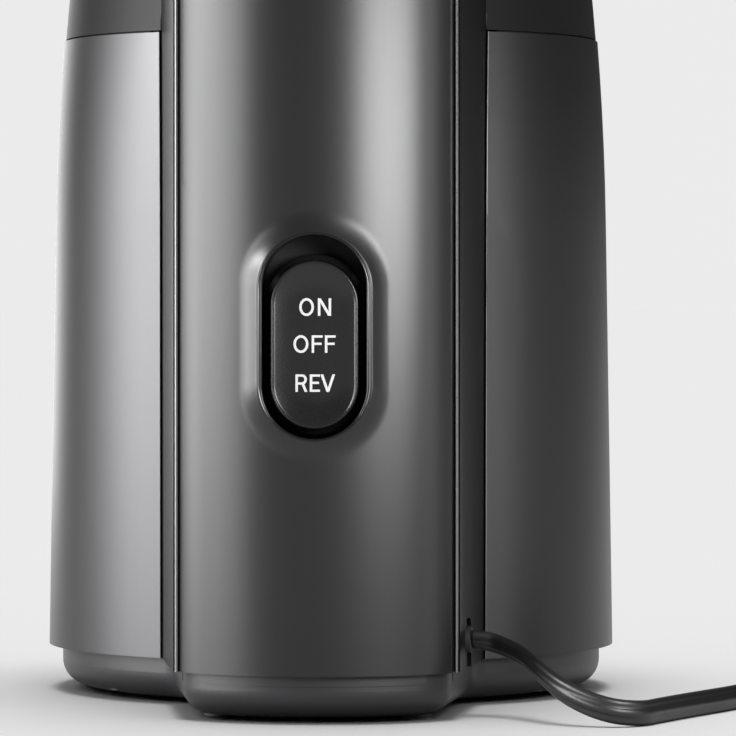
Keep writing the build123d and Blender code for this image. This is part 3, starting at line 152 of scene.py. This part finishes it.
# Matt painted board: pure white and quite without gloss, so only soft shadows show on it.
painted_board = bpy.data.materials.new("matt_painted_board")
painted_board.use_nodes = True
paint = painted_board.node_tree
paint.nodes.clear()
chalk = add(paint, "ShaderNodeBsdfDiffuse", {"Color": linear("#ffffff")})
add(paint, "ShaderNodeOutputMaterial", {"Surface": chalk.outputs[0]})
floor.data.materials.append(painted_board)

# The soft boxes light the object and not the floor, which has its own lamp overhead and stays even.
lit = bpy.data.collections.new("lit_by_boxes")
lit.objects.link(floor)
lit.collection_objects[0].light_linking.link_state = "EXCLUDE"


def soft_box(bearing, power, width=0.4, low=0.0, high=0.5, distance=1.5, facing=(0, 0)):
    """An upright soft box, in metres, that faces a point given in mm from the drive axis.

    Its bearing is in degrees from the object's front, positive to the right.
    """
    data = bpy.data.lights.new("soft_box", "AREA")
    data.shape = "RECTANGLE"
    data.size = width
    data.size_y = high - low
    data.energy = power
    box = bpy.data.objects.new("soft_box", data)
    scene.collection.objects.link(box)
    angle = math.radians(bearing)
    middle = drive_axis + Vector((facing[0] * mm, facing[1] * mm, (low + high) / 2))
    out = Vector((math.sin(angle), -math.cos(angle), 0))
    box.location = middle + out * distance
    box.rotation_euler = (-out).to_track_quat("-Z", "Y").to_euler()
    box.visible_camera = False
    box.light_linking.receiver_collection = lit


# A broad wall of light on the left, strongest high up, and a small lamp near the foot there.
for bearing, power in ((-45, 6.0), (-60, 7.5), (-75, 6.3), (-90, 6.3)):
    soft_box(bearing, power)
soft_box(-75, 22.0, low=0.5, high=1.0)
soft_box(-105, 1.1)
soft_box(-85, 0.5, width=0.16, high=0.18, distance=0.9, facing=(-40, -100))

# A weak one on the right, and two from behind that rim the left edge.
soft_box(70, 1.4, width=0.3)
for bearing, power in ((-150, 3.4), (-165, 3.0)):
    soft_box(bearing, power, high=1.0)

# Four narrow ones side by side, close to the switch, draw the long highlight down the column.
for bearing, power in ((25, 0.74), (35, 0.77), (45, 0.75), (55, 0.52)):
    soft_box(bearing, power, width=0.075, low=0.12, high=0.26, distance=0.42, facing=(23, -141))

floor_lit = bpy.data.collections.new("lit_from_overhead")
floor_lit.objects.link(floor)
overhead = bpy.data.objects.new("overhead_lamp", bpy.data.lights.new("overhead_lamp", "SUN"))
scene.collection.objects.link(overhead)
overhead.data.angle = 0.6
overhead.data.energy = 1.67
overhead.light_linking.receiver_collection = floor_lit

# ---------------------------------------------------------------- base tray, feet and their screws
# The tray is an ABS moulding, and its ribs bear the whole machine. Soft rubber feet are pushed through
# it from below, and plated steel screws run up through it into the deck's posts.


def material(
    name,
    colour,
    roughness,
    grain=None,
    spread=0.04,
    metallic=0.0,
    ior=1.5,
    specular=0.5,
    transmission=0.0,
):
    """A principled material, with its constants on its own sockets.

    Grain is the size and depth in mm of the fine bumps that its tool or spray left. The roughness
    changes with them, by up to the spread.
    """
    made = bpy.data.materials.new(name)
    made.use_nodes = True
    tree = made.node_tree
    tree.nodes.clear()
    constants = {
        "Base Color": linear(colour),
        "Roughness": roughness,
        "Metallic": metallic,
        "IOR": ior,
        "Specular IOR Level": specular,
        "Transmission Weight": transmission,
    }
    shader = add(tree, "ShaderNodeBsdfPrincipled", constants)
    add(tree, "ShaderNodeOutputMaterial", {"Surface": shader.outputs[0]})
    if grain:
        size, depth = grain
        place = add(tree, "ShaderNodeTexCoord")
        noise = add(
            tree,
            "ShaderNodeTexNoise",
            {"Vector": place.outputs["Object"], "Scale": 1 / (size * mm), "Detail": 3},
        )
        bump = add(
            tree,
            "ShaderNodeBump",
            {"Height": noise.outputs["Fac"], "Strength": 1.0, "Distance": depth * mm},
        )
        sheen = add(
            tree,
            "ShaderNodeMapRange",
            {
                "Value": noise.outputs["Fac"],
                "From Min": 0.3,
                "From Max": 0.7,
                "To Min": roughness - spread,
                "To Max": roughness + spread,
            },
        )
        tree.links.new(bump.outputs["Normal"], shader.inputs["Normal"])
        tree.links.new(sheen.outputs["Result"], shader.inputs["Roughness"])
    return made


def dress(finish, *names):
    """Gives CAD nodes their finish."""
    for name in names:
        for place in nodes[name].material_slots:
            place.material = finish


# ABS from a spark-eroded tool: its fine pits break up each highlight, so the tray looks matt under the
# body.
spark_eroded_abs = material("spark_eroded_abs", "#1c1c1e", 0.42, grain=(0.35, 0.010))
dress(spark_eroded_abs, "base_tray")

# Soft rubber: dull, with no clear highlight anywhere.
soft_rubber = material("soft_rubber", "#161616", 0.7, grain=(0.5, 0.02))
dress(soft_rubber, "rubber_feet")

# Zinc-plated steel: a cool, bright metal whose shine is patchy.
zinc_plated_steel = material(
    "zinc_plated_steel", "#b9bcc0", 0.32, grain=(0.8, 0.004), spread=0.08, metallic=1.0
)
dress(zinc_plated_steel, "base_screws")

# ---------------------------------------------------------------- round body and collar
# The body is a moulded wrap, open at the column and sprayed with satin graphite lacquer. The collar
# above the shadow line is bare moulded ABS, and carries the deck that the bowl stands on.

# Lacquer with fine metal flake: dark and metallic, it spreads each light into a broad soft band.
graphite_lacquer = material(
    "satin_graphite_lacquer", "#4b4b4c", 0.38, grain=(0.30, 0.004), spread=0.03, metallic=1.0
)
dress(graphite_lacquer, "body_shell")

# Bare ABS: nearly black, with a wide weak sheen that leaves it darker than the lacquer.
moulded_black_abs = material("moulded_black_abs", "#0f0f10", 0.48, grain=(0.30, 0.006), specular=0.18)
dress(moulded_black_abs, "collar_deck")

# ---------------------------------------------------------------- control column
# Two slanted side walls in one ABS moulding, and a bulged front panel of the same, both sprayed. Two
# thin plated beads are pressed in between them, and a plain moulded cap closes the top.

# A darker and smoother lacquer than the body's, so its highlights are narrower and fall off faster.
column_lacquer = material("column_graphite_lacquer", "#101011", 0.33, grain=(0.30, 0.004), spread=0.03)
dress(column_lacquer, "column_front_panel")

# The side walls get a darker copy of that lacquer that reflects less: painted shade, which keeps them
# nearly black beside the panel.
shaded_side_lacquer = material(
    "side_wall_lacquer_painted_shade", "#0a0a0b", 0.33, grain=(0.30, 0.004), spread=0.03, specular=0.1
)
dress(shaded_side_lacquer, "column_housing")
dress(moulded_black_abs, "column_cap")

# Satin chrome plate: one fine bright line that parts the panel from the dark walls.
satin_chrome = material("satin_chrome_bead", "#8a8a8c", 0.3, grain=(0.5, 0.002), metallic=1.0)
dress(satin_chrome, "column_trim")

# The panel's skin: an oval face with a soft swell that rises to the switch's lip ring. Sizes are mm
# from the drive axis and the floor. The swell falls away from the lip over its reach, and over a
# little to spare above and below. Between two heights the mesh runs in rings from the switch's
# opening out to the panel's edges, crowded at the lip, and above and below that in plain rows.
panel_half = 40.4
panel_low, panel_high = 14.2, 318.0
oval_half, oval_depth, oval_centre = 44.0, 28.153, 118.347
switch_middle = 113.4
lip_half, lip_straight = 16.9, 13.75
lip_face = 147.4
opening_half = 16.4
swell_reach, swell_spare = 5.2, 1.6
zone_low, zone_high = 68.0, 158.8
rows_across, rows_below, rows_beside, rows_above = 64, 12, 72, 40
ring_steps, ring_crowding, ring_squareness = 40, 1.5, 1.9
return_depths = (0.0, 0.25, 3.2)


def oval_face(x):
    """Depth of the panel's plain oval face in front of the drive axis."""
    return oval_centre + oval_depth * math.sqrt(1 - (x / oval_half) ** 2)


def panel_face(x, z):
    """Depth of the panel's face with its swell."""
    rise = max(abs(z - switch_middle) - lip_straight, 0.0)
    reach = math.hypot(x, rise)
    away = (reach - lip_half) / (swell_reach + swell_spare * rise / max(reach, 0.1))
    away = min(max(away, 0.0), 1.0)
    return oval_face(x) + (lip_face - oval_face(x)) * (1 - away) ** 2


def stations(low, high, count):
    """Evenly spaced places from one to another, both ends included."""
    return [low + (high - low) * index / count for index in range(count + 1)]


def sheet(form, rows):
    """Adds a grid and draws its vertices out to rows of points."""
    across, along = len(rows[0]) - 1, len(rows) - 1
    grid = bmesh.ops.create_grid(form, x_segments=across, y_segments=along, size=1)["verts"]
    for vert, point in zip(grid, (point for row in rows for point in row)):
        vert.co = point


def weld(form):
    """Merges the vertices where sheets meet."""
    bmesh.ops.remove_doubles(form, verts=form.verts, dist=0.001)


def smooth_skin(form):
    """Turns a welded skin's faces outwards, as its points now lie, and shades them smooth."""
    form.normal_update()
    bmesh.ops.recalc_face_normals(form, faces=form.faces)
    for face in form.faces:
        face.smooth = True


def place_piece(name, form, finish, body):
    """A form in mm from the drive axis becomes an object that rides on a body."""
    for vert in form.verts:
        vert.co = drive_axis + vert.co * mm
    mesh = bpy.data.meshes.new(name)
    form.to_mesh(mesh)
    form.free()
    mesh.materials.append(finish)
    piece = bpy.data.objects.new(name, mesh)
    scene.collection.objects.link(piece)
    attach(piece, body)
    return piece


columns = stations(-panel_half, panel_half, rows_across)
below = stations(panel_low, zone_low, rows_below)
beside = stations(zone_low, zone_high, rows_beside)
above = stations(zone_high, panel_high, rows_above)
panel = bmesh.new()
for heights in (below, above):
    sheet(panel, [[(x, -panel_face(x, z), z) for x in columns] for z in heights])

rim = [(x, zone_low) for x in columns]
rim += [(panel_half, z) for z in beside[1:]]
rim += [(x, zone_high) for x in columns[-2::-1]]
rim += [(-panel_half, z) for z in beside[-2::-1]]
zone_half = (zone_high - zone_low) / 2
rings = []
for step in range(ring_steps + 1):
    out = (step / ring_steps) ** ring_crowding
    ring = []
    for x, z in rim:
        turn = math.atan2((z - switch_middle) / zone_half, x / panel_half)
        lift = lip_straight * max(-1.0, min(1.0, ring_squareness * math.sin(turn)))
        inner_x = opening_half * math.cos(turn)
        inner_z = switch_middle + opening_half * math.sin(turn) + lift
        at_x = inner_x + (x - inner_x) * out
        at_z = inner_z + (z - inner_z) * out
        ring.append((at_x, -panel_face(at_x, at_z), at_z))
    rings.append(ring)
sheet(panel, rings)
edge_heights = below + beside[1:] + above[1:]
for x in (-panel_half, panel_half):
    sheet(panel, [[(x, back - oval_face(x), z) for z in edge_heights] for back in return_depths])
weld(panel)
smooth_skin(panel)
panel_skin = place_piece("panel_skin", panel, column_lacquer, "base")
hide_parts("column_front_panel")

# ---------------------------------------------------------------- switch
# A glossy lip ring is pushed into the panel and stands just proud of its swell. The rocker is moulded
# in one with its side pins and tongue, and its words are pad-printed. The switch's body behind is
# nylon.

# ABS from a polished tool: deep black, with thin crisp highlights along the ring's crests.
satin_black_abs = material("satin_black_abs", "#0b0b0c", 0.18, grain=(0.30, 0.003))

# The rocker's ABS is a shade lighter and softer in sheen, so its face stands out from the dark gap.
rocker_abs = material("moulded_rocker_abs", "#131314", 0.26, grain=(0.30, 0.003), specular=0.38)
dress(rocker_abs, "rocker_cap")

# Nylon straight from the tool: matt and black, so the gap round the rocker looks deep.
matt_black_nylon = material("matt_black_nylon", "#050505", 0.65, grain=(0.4, 0.01))
dress(matt_black_nylon, "switch_body")

ring_points = 128


def stadium(half, straight, depth, middle):
    """A closed round of points on an upright stadium, at a depth in front of the drive axis."""
    points = []
    for index in range(ring_points):
        turn = 2 * math.pi * (index + 0.5) / ring_points
        lift = straight if math.sin(turn) > 0 else -straight
        points.append((half * math.cos(turn), -depth, middle + lift + half * math.sin(turn)))
    return points + points[:1]


# The lip ring's half width, half straight and depth: its outer wall, two rounded crests with a shallow
# groove between them, and the wall of the opening.
lip_profile = [
    (16.8, 13.7, 130.0),
    (16.8, 13.7, 140.0),
    (16.8, 13.7, 147.5),
    (16.74, 13.7, 147.78),
    (16.6, 13.7, 147.95),
    (16.4, 13.75, 147.97),
    (16.22, 13.85, 147.82),
    (16.0, 14.0, 147.74),
    (15.8, 14.15, 147.82),
    (15.62, 14.28, 147.88),
    (15.45, 14.4, 147.78),
    (15.34, 14.44, 147.55),
    (15.3, 14.45, 147.2),
    (15.3, 14.45, 140.0),
    (15.3, 14.45, 130.0),
]
lip = bmesh.new()
sheet(lip, [stadium(*sizes, switch_middle) for sizes in lip_profile + lip_profile[:1]])
weld(lip)
smooth_skin(lip)
lip_skin = place_piece("lip_skin", lip, satin_black_abs, "base")
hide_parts("switch_bezel")

# The rocker runs in rings from its skirt over the rounded rim, down a small step and into a shallow
# dish that is longest along the rocker. The profile gives each ring's outset from the finger face's
# edge, and its depth.
rocker_middle = 111.1
rocker_half, rocker_straight = 12.85, 11.7
rocker_profile = [
    (1.95, 134.0),
    (1.95, 137.2),
    (1.65, 137.5),
    (0.25, 137.5),
    (0.0, 137.75),
    (0.0, 141.0),
    (0.0, 145.9),
    (-0.06, 146.25),
    (-0.22, 146.48),
    (-0.45, 146.59),
    (-0.7, 146.6),
]
rim_inset, face_depth = 0.7, 146.6
rim_drop, rim_width = 0.35, 0.6
dish_drop, dish_side, dish_end, dish_end_power = 0.75, 7.0, 9.0, 2.2
dish_insets = (
    (0.76, 0.84, 0.94, 1.04, 1.16, 1.3, 1.5, 1.8, 2.3, 2.9)
    + (3.6, 4.4, 5.3, 6.3, 7.4, 8.8, 10.4, 12.0, 12.75)
)
tongue_width, tongue_front, tongue_back = 6.0, 135.0, 127.5
pin_radius, pin_span, pin_depth = 2.0, 32.8, 136.0


def eased(way, reach, power=2):
    """Share of a drop that is reached some way in from its edge: steep there, level at its reach."""
    return 1 - (1 - min(max(way / reach, 0), 1)) ** power


rings = []
for outset, depth in rocker_profile:
    rings.append(stadium(rocker_half + outset, rocker_straight, depth, rocker_middle))
for inset in dish_insets:
    inside = inset - rim_inset
    ring = []
    for x, y, z in stadium(rocker_half - inset, rocker_straight, face_depth, rocker_middle):
        from_end = rocker_half + rocker_straight - rim_inset - abs(z - rocker_middle)
        dish = eased(inside, dish_side) * eased(from_end, dish_end, dish_end_power)
        ring.append((x, y + rim_drop * eased(inside, rim_width) + dish_drop * dish, z))
    rings.append(ring)
rocker = bmesh.new()
sheet(rocker, rings)
weld(rocker)
bmesh.ops.holes_fill(rocker, edges=rocker.edges)
for vert in bmesh.ops.create_cube(rocker, size=tongue_width)["verts"]:
    vert.co.y = -tongue_front if vert.co.y < 0 else -tongue_back
    vert.co.z += rocker_middle
pins = bmesh.ops.create_cone(
    rocker, cap_ends=True, segments=32, radius1=pin_radius, radius2=pin_radius, depth=pin_span
)["verts"]
for vert in pins:
    vert.co = Vector((vert.co.z, vert.co.y - pin_depth, vert.co.x + rocker_middle))
smooth_skin(rocker)
rocker_skin = place_piece("rocker_skin", rocker, rocker_abs, "rocker")
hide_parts("rocker_cap")

# Pad print: a thin film of flat white ink, a little grey where the black shows through.
print_white = material("white_pad_print", "#b4b4b4", 0.5, grain=(0.2, 0.002))

# The words are drawn in strokes of one width, each letter between its own left and right edges. A
# stroke that crosses another lies one layer of ink in front of it. Sizes are mm. An arm is the middle
# stroke of an E or F, a slant is a slanting stroke's width at its ends, and the R's heights and leg
# are measured from the letter's middle and its right edge.
cap_height, stroke = 5.1, 0.73
level_stroke = 0.92 * stroke
print_depth, layer = 145.56, 0.004
overshoot, bow_steps = 0.06, 40
arm_low, arm_high, arm_short = -0.25, 0.42, 0.3
n_slant = 0.88
v_foot, v_slant = 0.4, 0.8
r_low, r_high, r_straight, r_round = -0.45, 0.22, 1.4, 1.3
r_leg_foot, r_leg_top = (-0.75, 0.1), (-1.0, -1.8)
words = {
    "on": (122.1, ("O", -4.46, -0.15), ("N", 1.0, 4.87)),
    "off": (111.3, ("O", -6.14, -1.77), ("F", -0.82, 2.39), ("F", 3.05, 6.18)),
    "rev": (99.9, ("R", -5.56, -2.13), ("E", -1.37, 1.62), ("V", 1.76, 6.04)),
}


def bar(ink, corners, layers=0):
    """A straight stroke between four corners, given anticlockwise so that it faces forwards."""
    first, second, third, last = [(x, -print_depth - layers * layer, z) for x, z in corners]
    sheet(ink, [(first, second), (last, third)])


def block(ink, left, low, right, high, layers=0):
    """An upright or level stroke."""
    bar(ink, ((left, low), (right, low), (right, high), (left, high)), layers)


def bow(ink, middle_x, middle_z, half_x, half_z, start, stop, layers=0):
    """A round stroke: part of an oval ring, from one angle to another."""
    rows = []
    for inside in (0, stroke):
        row = []
        for angle in stations(start, stop, bow_steps):
            x = middle_x + (half_x - inside) * math.cos(math.radians(angle))
            z = middle_z + (half_z - inside) * math.sin(math.radians(angle))
            row.append((x, -print_depth - layers * layer, z))
        rows.append(row)
    sheet(ink, rows)


for word, (middle, *letters) in words.items():
    ink = bmesh.new()
    top, foot = middle + cap_height / 2, middle - cap_height / 2
    for letter, left, right in letters:
        centre = (left + right) / 2
        if letter == "O":
            bow(ink, centre, middle, (right - left) / 2, cap_height / 2 + overshoot, 0, 360)
        elif letter == "V":
            inner, outer = centre - v_foot, centre + v_foot
            bar(ink, ((left, top), (inner, foot), (outer, foot), (left + v_slant, top)))
            bar(ink, ((right, top), (right - v_slant, top), (inner, foot), (outer, foot)), 1)
        else:
            block(ink, left, foot, left + stroke, top)
        if letter == "N":
            block(ink, right - stroke, foot, right, top)
            bar(ink, ((left, top), (right - n_slant, foot), (right, foot), (left + n_slant, top)), 1)
        if letter in "EF":
            block(ink, left, top - level_stroke, right, top, 1)
            block(ink, left, middle + arm_low, right - arm_short, middle + arm_high, 1)
        if letter == "E":
            block(ink, left, foot, right, foot + level_stroke, 1)
        if letter == "R":
            turn_x = right - r_straight
            low = middle + r_low
            block(ink, left, top - level_stroke, turn_x, top, 1)
            block(ink, left, low, turn_x, middle + r_high, 1)
            bow(ink, turn_x, (top + low) / 2, r_round, (top - low) / 2, -90, 90, 2)
            leg_foot = [(right + x, foot) for x in r_leg_foot]
            leg_top = [(right + x, middle) for x in r_leg_top]
            bar(ink, leg_foot + leg_top, 3)
    weld(ink)
    place_piece("word_" + word, ink, print_white, "rocker")

# ---------------------------------------------------------------- electrics in the column
# A glass-fibre board with its relays and choke stands in slots of the side walls, with the run
# capacitor beside it. The lid's sensor is a small sealed moulding.

# Solder mask: a clear green film over copper, as glossy as varnish.
solder_mask = material("green_solder_mask", "#0f5a2c", 0.3, grain=(0.6, 0.004))
dress(solder_mask, "control_board")

# Moulded component cases: dark, slightly blue and half matt.
component_plastic = material("component_plastic", "#2a2a30", 0.5, grain=(0.4, 0.01))
dress(component_plastic, "board_parts", "run_capacitor")
dress(moulded_black_abs, "lid_sensor")

# ---------------------------------------------------------------- motor
# Punched steel laminations are pressed into a stack, with wound copper end turns, between two die cast
# brackets that hold the shaft's bearings. Long screws draw the brackets together, and a moulded fan is
# pushed on below.

# Lamination steel: grey and a little dull from its oxide coat.
lamination_steel = material("lamination_steel", "#6d7076", 0.4, grain=(0.5, 0.01), metallic=1.0)
dress(lamination_steel, "motor_stator", "rotor_core")

# Enamelled copper: warm and glossy, with coarse bumps that read as turns of wire.
enamelled_copper = material("enamelled_copper", "#b06a36", 0.3, grain=(0.8, 0.2), metallic=1.0)
dress(enamelled_copper, "motor_windings")

# Die cast aluminium: pale, with the soft uneven skin of a casting.
die_cast_aluminium = material("die_cast_aluminium", "#a9abad", 0.45, grain=(1.0, 0.02), metallic=1.0)
dress(die_cast_aluminium, "motor_top_bracket", "motor_bottom_bracket")

# Ground steel: the brightest metal inside, with a clean sharp shine.
ground_steel = material("ground_steel", "#c3c5c8", 0.22, grain=(0.3, 0.002), metallic=1.0)
dress(ground_steel, "motor_bearings", "motor_shaft")
dress(zinc_plated_steel, "motor_screws")
dress(moulded_black_abs, "cooling_fan")

# ---------------------------------------------------------------- gearbox
# A cut steel pinion drives three moulded acetal planets inside an acetal ring. They turn on the pins of
# a steel carrier, held by clips, in a screwed housing of glass-filled nylon with a rubber lip seal
# round the shaft.

# Acetal: creamy white, waxy and smooth.
moulded_acetal = material("moulded_acetal", "#d9d6c8", 0.35, grain=(0.4, 0.004), ior=1.48)
dress(moulded_acetal, "ring_gear", "planet_gear_1", "planet_gear_2", "planet_gear_3")

# Glass-filled nylon: black, and dull where the fibres come to the surface.
glass_filled_nylon = material("glass_filled_nylon", "#202122", 0.5, grain=(0.5, 0.02))
dress(glass_filled_nylon, "gearbox_housing", "gearbox_cover")
dress(ground_steel, "sun_pinion", "planet_carrier", "planet_clips", "output_bearing", "drive_shaft")
dress(zinc_plated_steel, "gearbox_screws")
dress(soft_rubber, "shaft_seal")

# ---------------------------------------------------------------- bowl, strainer and screw
# The bowl, spout and duct are moulded in clear copolyester, with silicone seals. The strainer is
# punched and rolled from stainless steel, the screw is moulded in polyetherimide, and the spout's cap
# swings on a steel pin.

# Clear copolyester: as bright as glass, so the strainer and screw show through the wall.
clear_copolyester = material("clear_copolyester", "#dfe6ea", 0.06, ior=1.57, transmission=1.0)
dress(clear_copolyester, "juicing_bowl", "juice_spout", "pulp_duct")

# Silicone: soft grey, with a wide low sheen.
silicone = material("grey_silicone", "#8d8f91", 0.5, grain=(0.6, 0.01), ior=1.41)
dress(silicone, "hub_seal", "spout_cap_seal")

# Stainless sheet: silvery and even, with a satin shine.
punched_stainless = material("punched_stainless", "#b4b6b9", 0.28, grain=(0.5, 0.004), metallic=1.0)
dress(punched_stainless, "strainer")

# Polyetherimide: brown-black, dense and smoothly moulded.
polyetherimide = material("moulded_polyetherimide", "#3a332c", 0.35, grain=(0.6, 0.01), ior=1.66)
dress(polyetherimide, "auger")
dress(moulded_black_abs, "spout_cap")
dress(ground_steel, "spout_pin")

# ---------------------------------------------------------------- lid, chute and pusher
# The lid, its chute and its locking tab are black ABS mouldings, with a silicone seal and a magnet for
# the sensor. The pusher is a hollow moulding of the same plastic with a silicone foot.

# Gloss ABS: mirror black, with slow waves in its reflections where the walls sank a little in the tool.
gloss_black_abs = material("gloss_black_abs", "#141415", 0.16, grain=(2.0, 0.002), spread=0.03)
dress(gloss_black_abs, "hopper_lid", "feed_chute", "lid_tab", "pusher")
dress(silicone, "lid_seal", "pusher_foot")
dress(ground_steel, "lid_magnet")

# ---------------------------------------------------------------- mains lead
# Three cores side by side in one flat jacket of soft PVC, so its section has three lobes, the middle
# one largest. It leaves through a recessed rubber strain relief, lies on edge and is wound into a neat
# coil with its plug.

lead_width = 7.5
lead_thickness = 3.6
lead_route = [
    (45.5, -111.0, 22.8),
    (49.0, -111.5, 22.6),
    (54.0, -112.3, 21.4),
    (62.0, -120.5, 18.2),
    (66.5, -132.5, 14.2),
    (73.5, -144.0, 9.2),
    (85.0, -150.5, 4.9),
    (95.0, -147.5, 3.75),
    (100.5, -135.0, 3.75),
    (111.5, -113.0, 3.75),
    (124.0, -90.0, 3.75),
    (134.0, -66.0, 3.75),
    (152.0, -51.0, 3.75),
    (166.0, -48.0, 3.75),
    (177.0, -48.0, 3.75),
]
lead_twist = [52, 48, 40, 28, 20, 14, 8, 3]
lying = lead_width / 2
on_top = 3 * lying
coil_centre = Vector((190.0, -100.0))
coil_outer = 52.0
coil_pitch = 4.2
coil_turns = 3.25
turn_points = 16
climb = [
    (-27, 37.0, lying),
    (-45, 34.5, 5.5),
    (-63, 33.0, 9.0),
    (-80, 36.0, on_top),
    (-98, 41.0, on_top),
]
top_radius = 43.0
top_start, top_end, top_step = -120, -300, -22
plug_reach, plug_rise = ((-6.0, 13.0), (2.0, 16.0))


def coil_point(angle, radius, z):
    """A control point of the coil, a little outside the circle so that the smooth line runs on it."""
    outside = radius / math.cos(math.pi / turn_points)
    turn = math.radians(angle)
    return (coil_centre.x + outside * math.cos(turn), coil_centre.y + outside * math.sin(turn), z)


# The coil winds inwards on the floor, climbs over its own turns and ends on top of them, at the plug.
route = list(lead_route)
for index in range(int(coil_turns * turn_points) + 1):
    turned = (index + 0.5) / turn_points
    route.append(coil_point(90 - 360 * turned, coil_outer - coil_pitch * turned, lying))
route += [coil_point(*point) for point in climb]
route += [coil_point(angle, top_radius, on_top) for angle in range(top_start, top_end, top_step)]
end_angle = math.radians(top_end)
tail = coil_centre + top_radius * Vector((math.cos(end_angle), math.sin(end_angle)))
heading = Vector((math.sin(end_angle), -math.cos(end_angle)))
for reach, rise in (plug_reach, plug_rise):
    route.append((*(tail + heading * reach), rise))

line = bpy.data.curves.new("lead_line", "CURVE")
line.dimensions = "3D"
line.twist_mode = "Z_UP"
spline = line.splines.new("NURBS")
spline.points.add(len(route) - 1)
for point, place in zip(spline.points, route):
    point.co = (*(drive_axis + Vector(place) * mm), 1)
for point, tilt in zip(spline.points, lead_twist):
    point.tilt = math.radians(tilt)
spline.order_u = 3
spline.use_endpoint_u = True
line.resolution_u = 6
line_object = bpy.data.objects.new("lead_line", line)
scene.collection.objects.link(line_object)
bpy.context.view_layer.update()
followed = bpy.data.meshes.new_from_object(line_object)

side_lobe = 1.35
side_centre = lead_width / 2 - side_lobe
section_points = 36
section = bpy.data.curves.new("lead_section", "CURVE")
outline = section.splines.new("POLY")
outline.points.add(section_points - 1)
for index, point in enumerate(outline.points):
    turn = 2 * math.pi * index / section_points
    reach = lead_thickness / 2
    inside = side_lobe**2 - (side_centre * math.cos(turn)) ** 2
    if inside > 0:
        reach = max(reach, side_centre * abs(math.sin(turn)) + math.sqrt(inside))
    point.co = (reach * math.cos(turn) * mm, reach * math.sin(turn) * mm, 0, 1)
outline.use_cyclic_u = True
section_object = bpy.data.objects.new("lead_section", section)
scene.collection.objects.link(section_object)
line.bevel_mode = "OBJECT"
line.bevel_object = section_object
line.use_fill_caps = True
bpy.context.view_layer.update()
drawn = line_object.evaluated_get(bpy.context.evaluated_depsgraph_get())
jacket = bpy.data.meshes.new_from_object(drawn)
bpy.data.objects.remove(line_object)
bpy.data.objects.remove(section_object)
tube = bmesh.new()
tube.from_mesh(jacket)
bmesh.ops.remove_doubles(tube, verts=tube.verts, dist=1e-6)
bmesh.ops.recalc_face_normals(tube, faces=tube.faces)
for face in tube.faces:
    face.smooth = True
tube.to_mesh(jacket)
tube.free()
mains_lead = bpy.data.objects.new("mains_lead", jacket)
scene.collection.objects.link(mains_lead)

# Soft PVC: black and supple, with a long satin highlight on each lobe.
soft_pvc = material("soft_pvc_jacket", "#141415", 0.42, grain=(0.5, 0.01), ior=1.53)
jacket.materials.clear()
jacket.materials.append(soft_pvc)
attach(mains_lead, "base")
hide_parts("cord_lead", "cord_coil")
dress(soft_pvc, "plug_body")
dress(soft_rubber, "cord_grommet")

# Nickel over brass: pale gold-grey and shiny.
plated_brass = material("nickel_plated_brass", "#c9c0a2", 0.25, grain=(0.5, 0.002), metallic=1.0)
dress(plated_brass, "plug_pins")
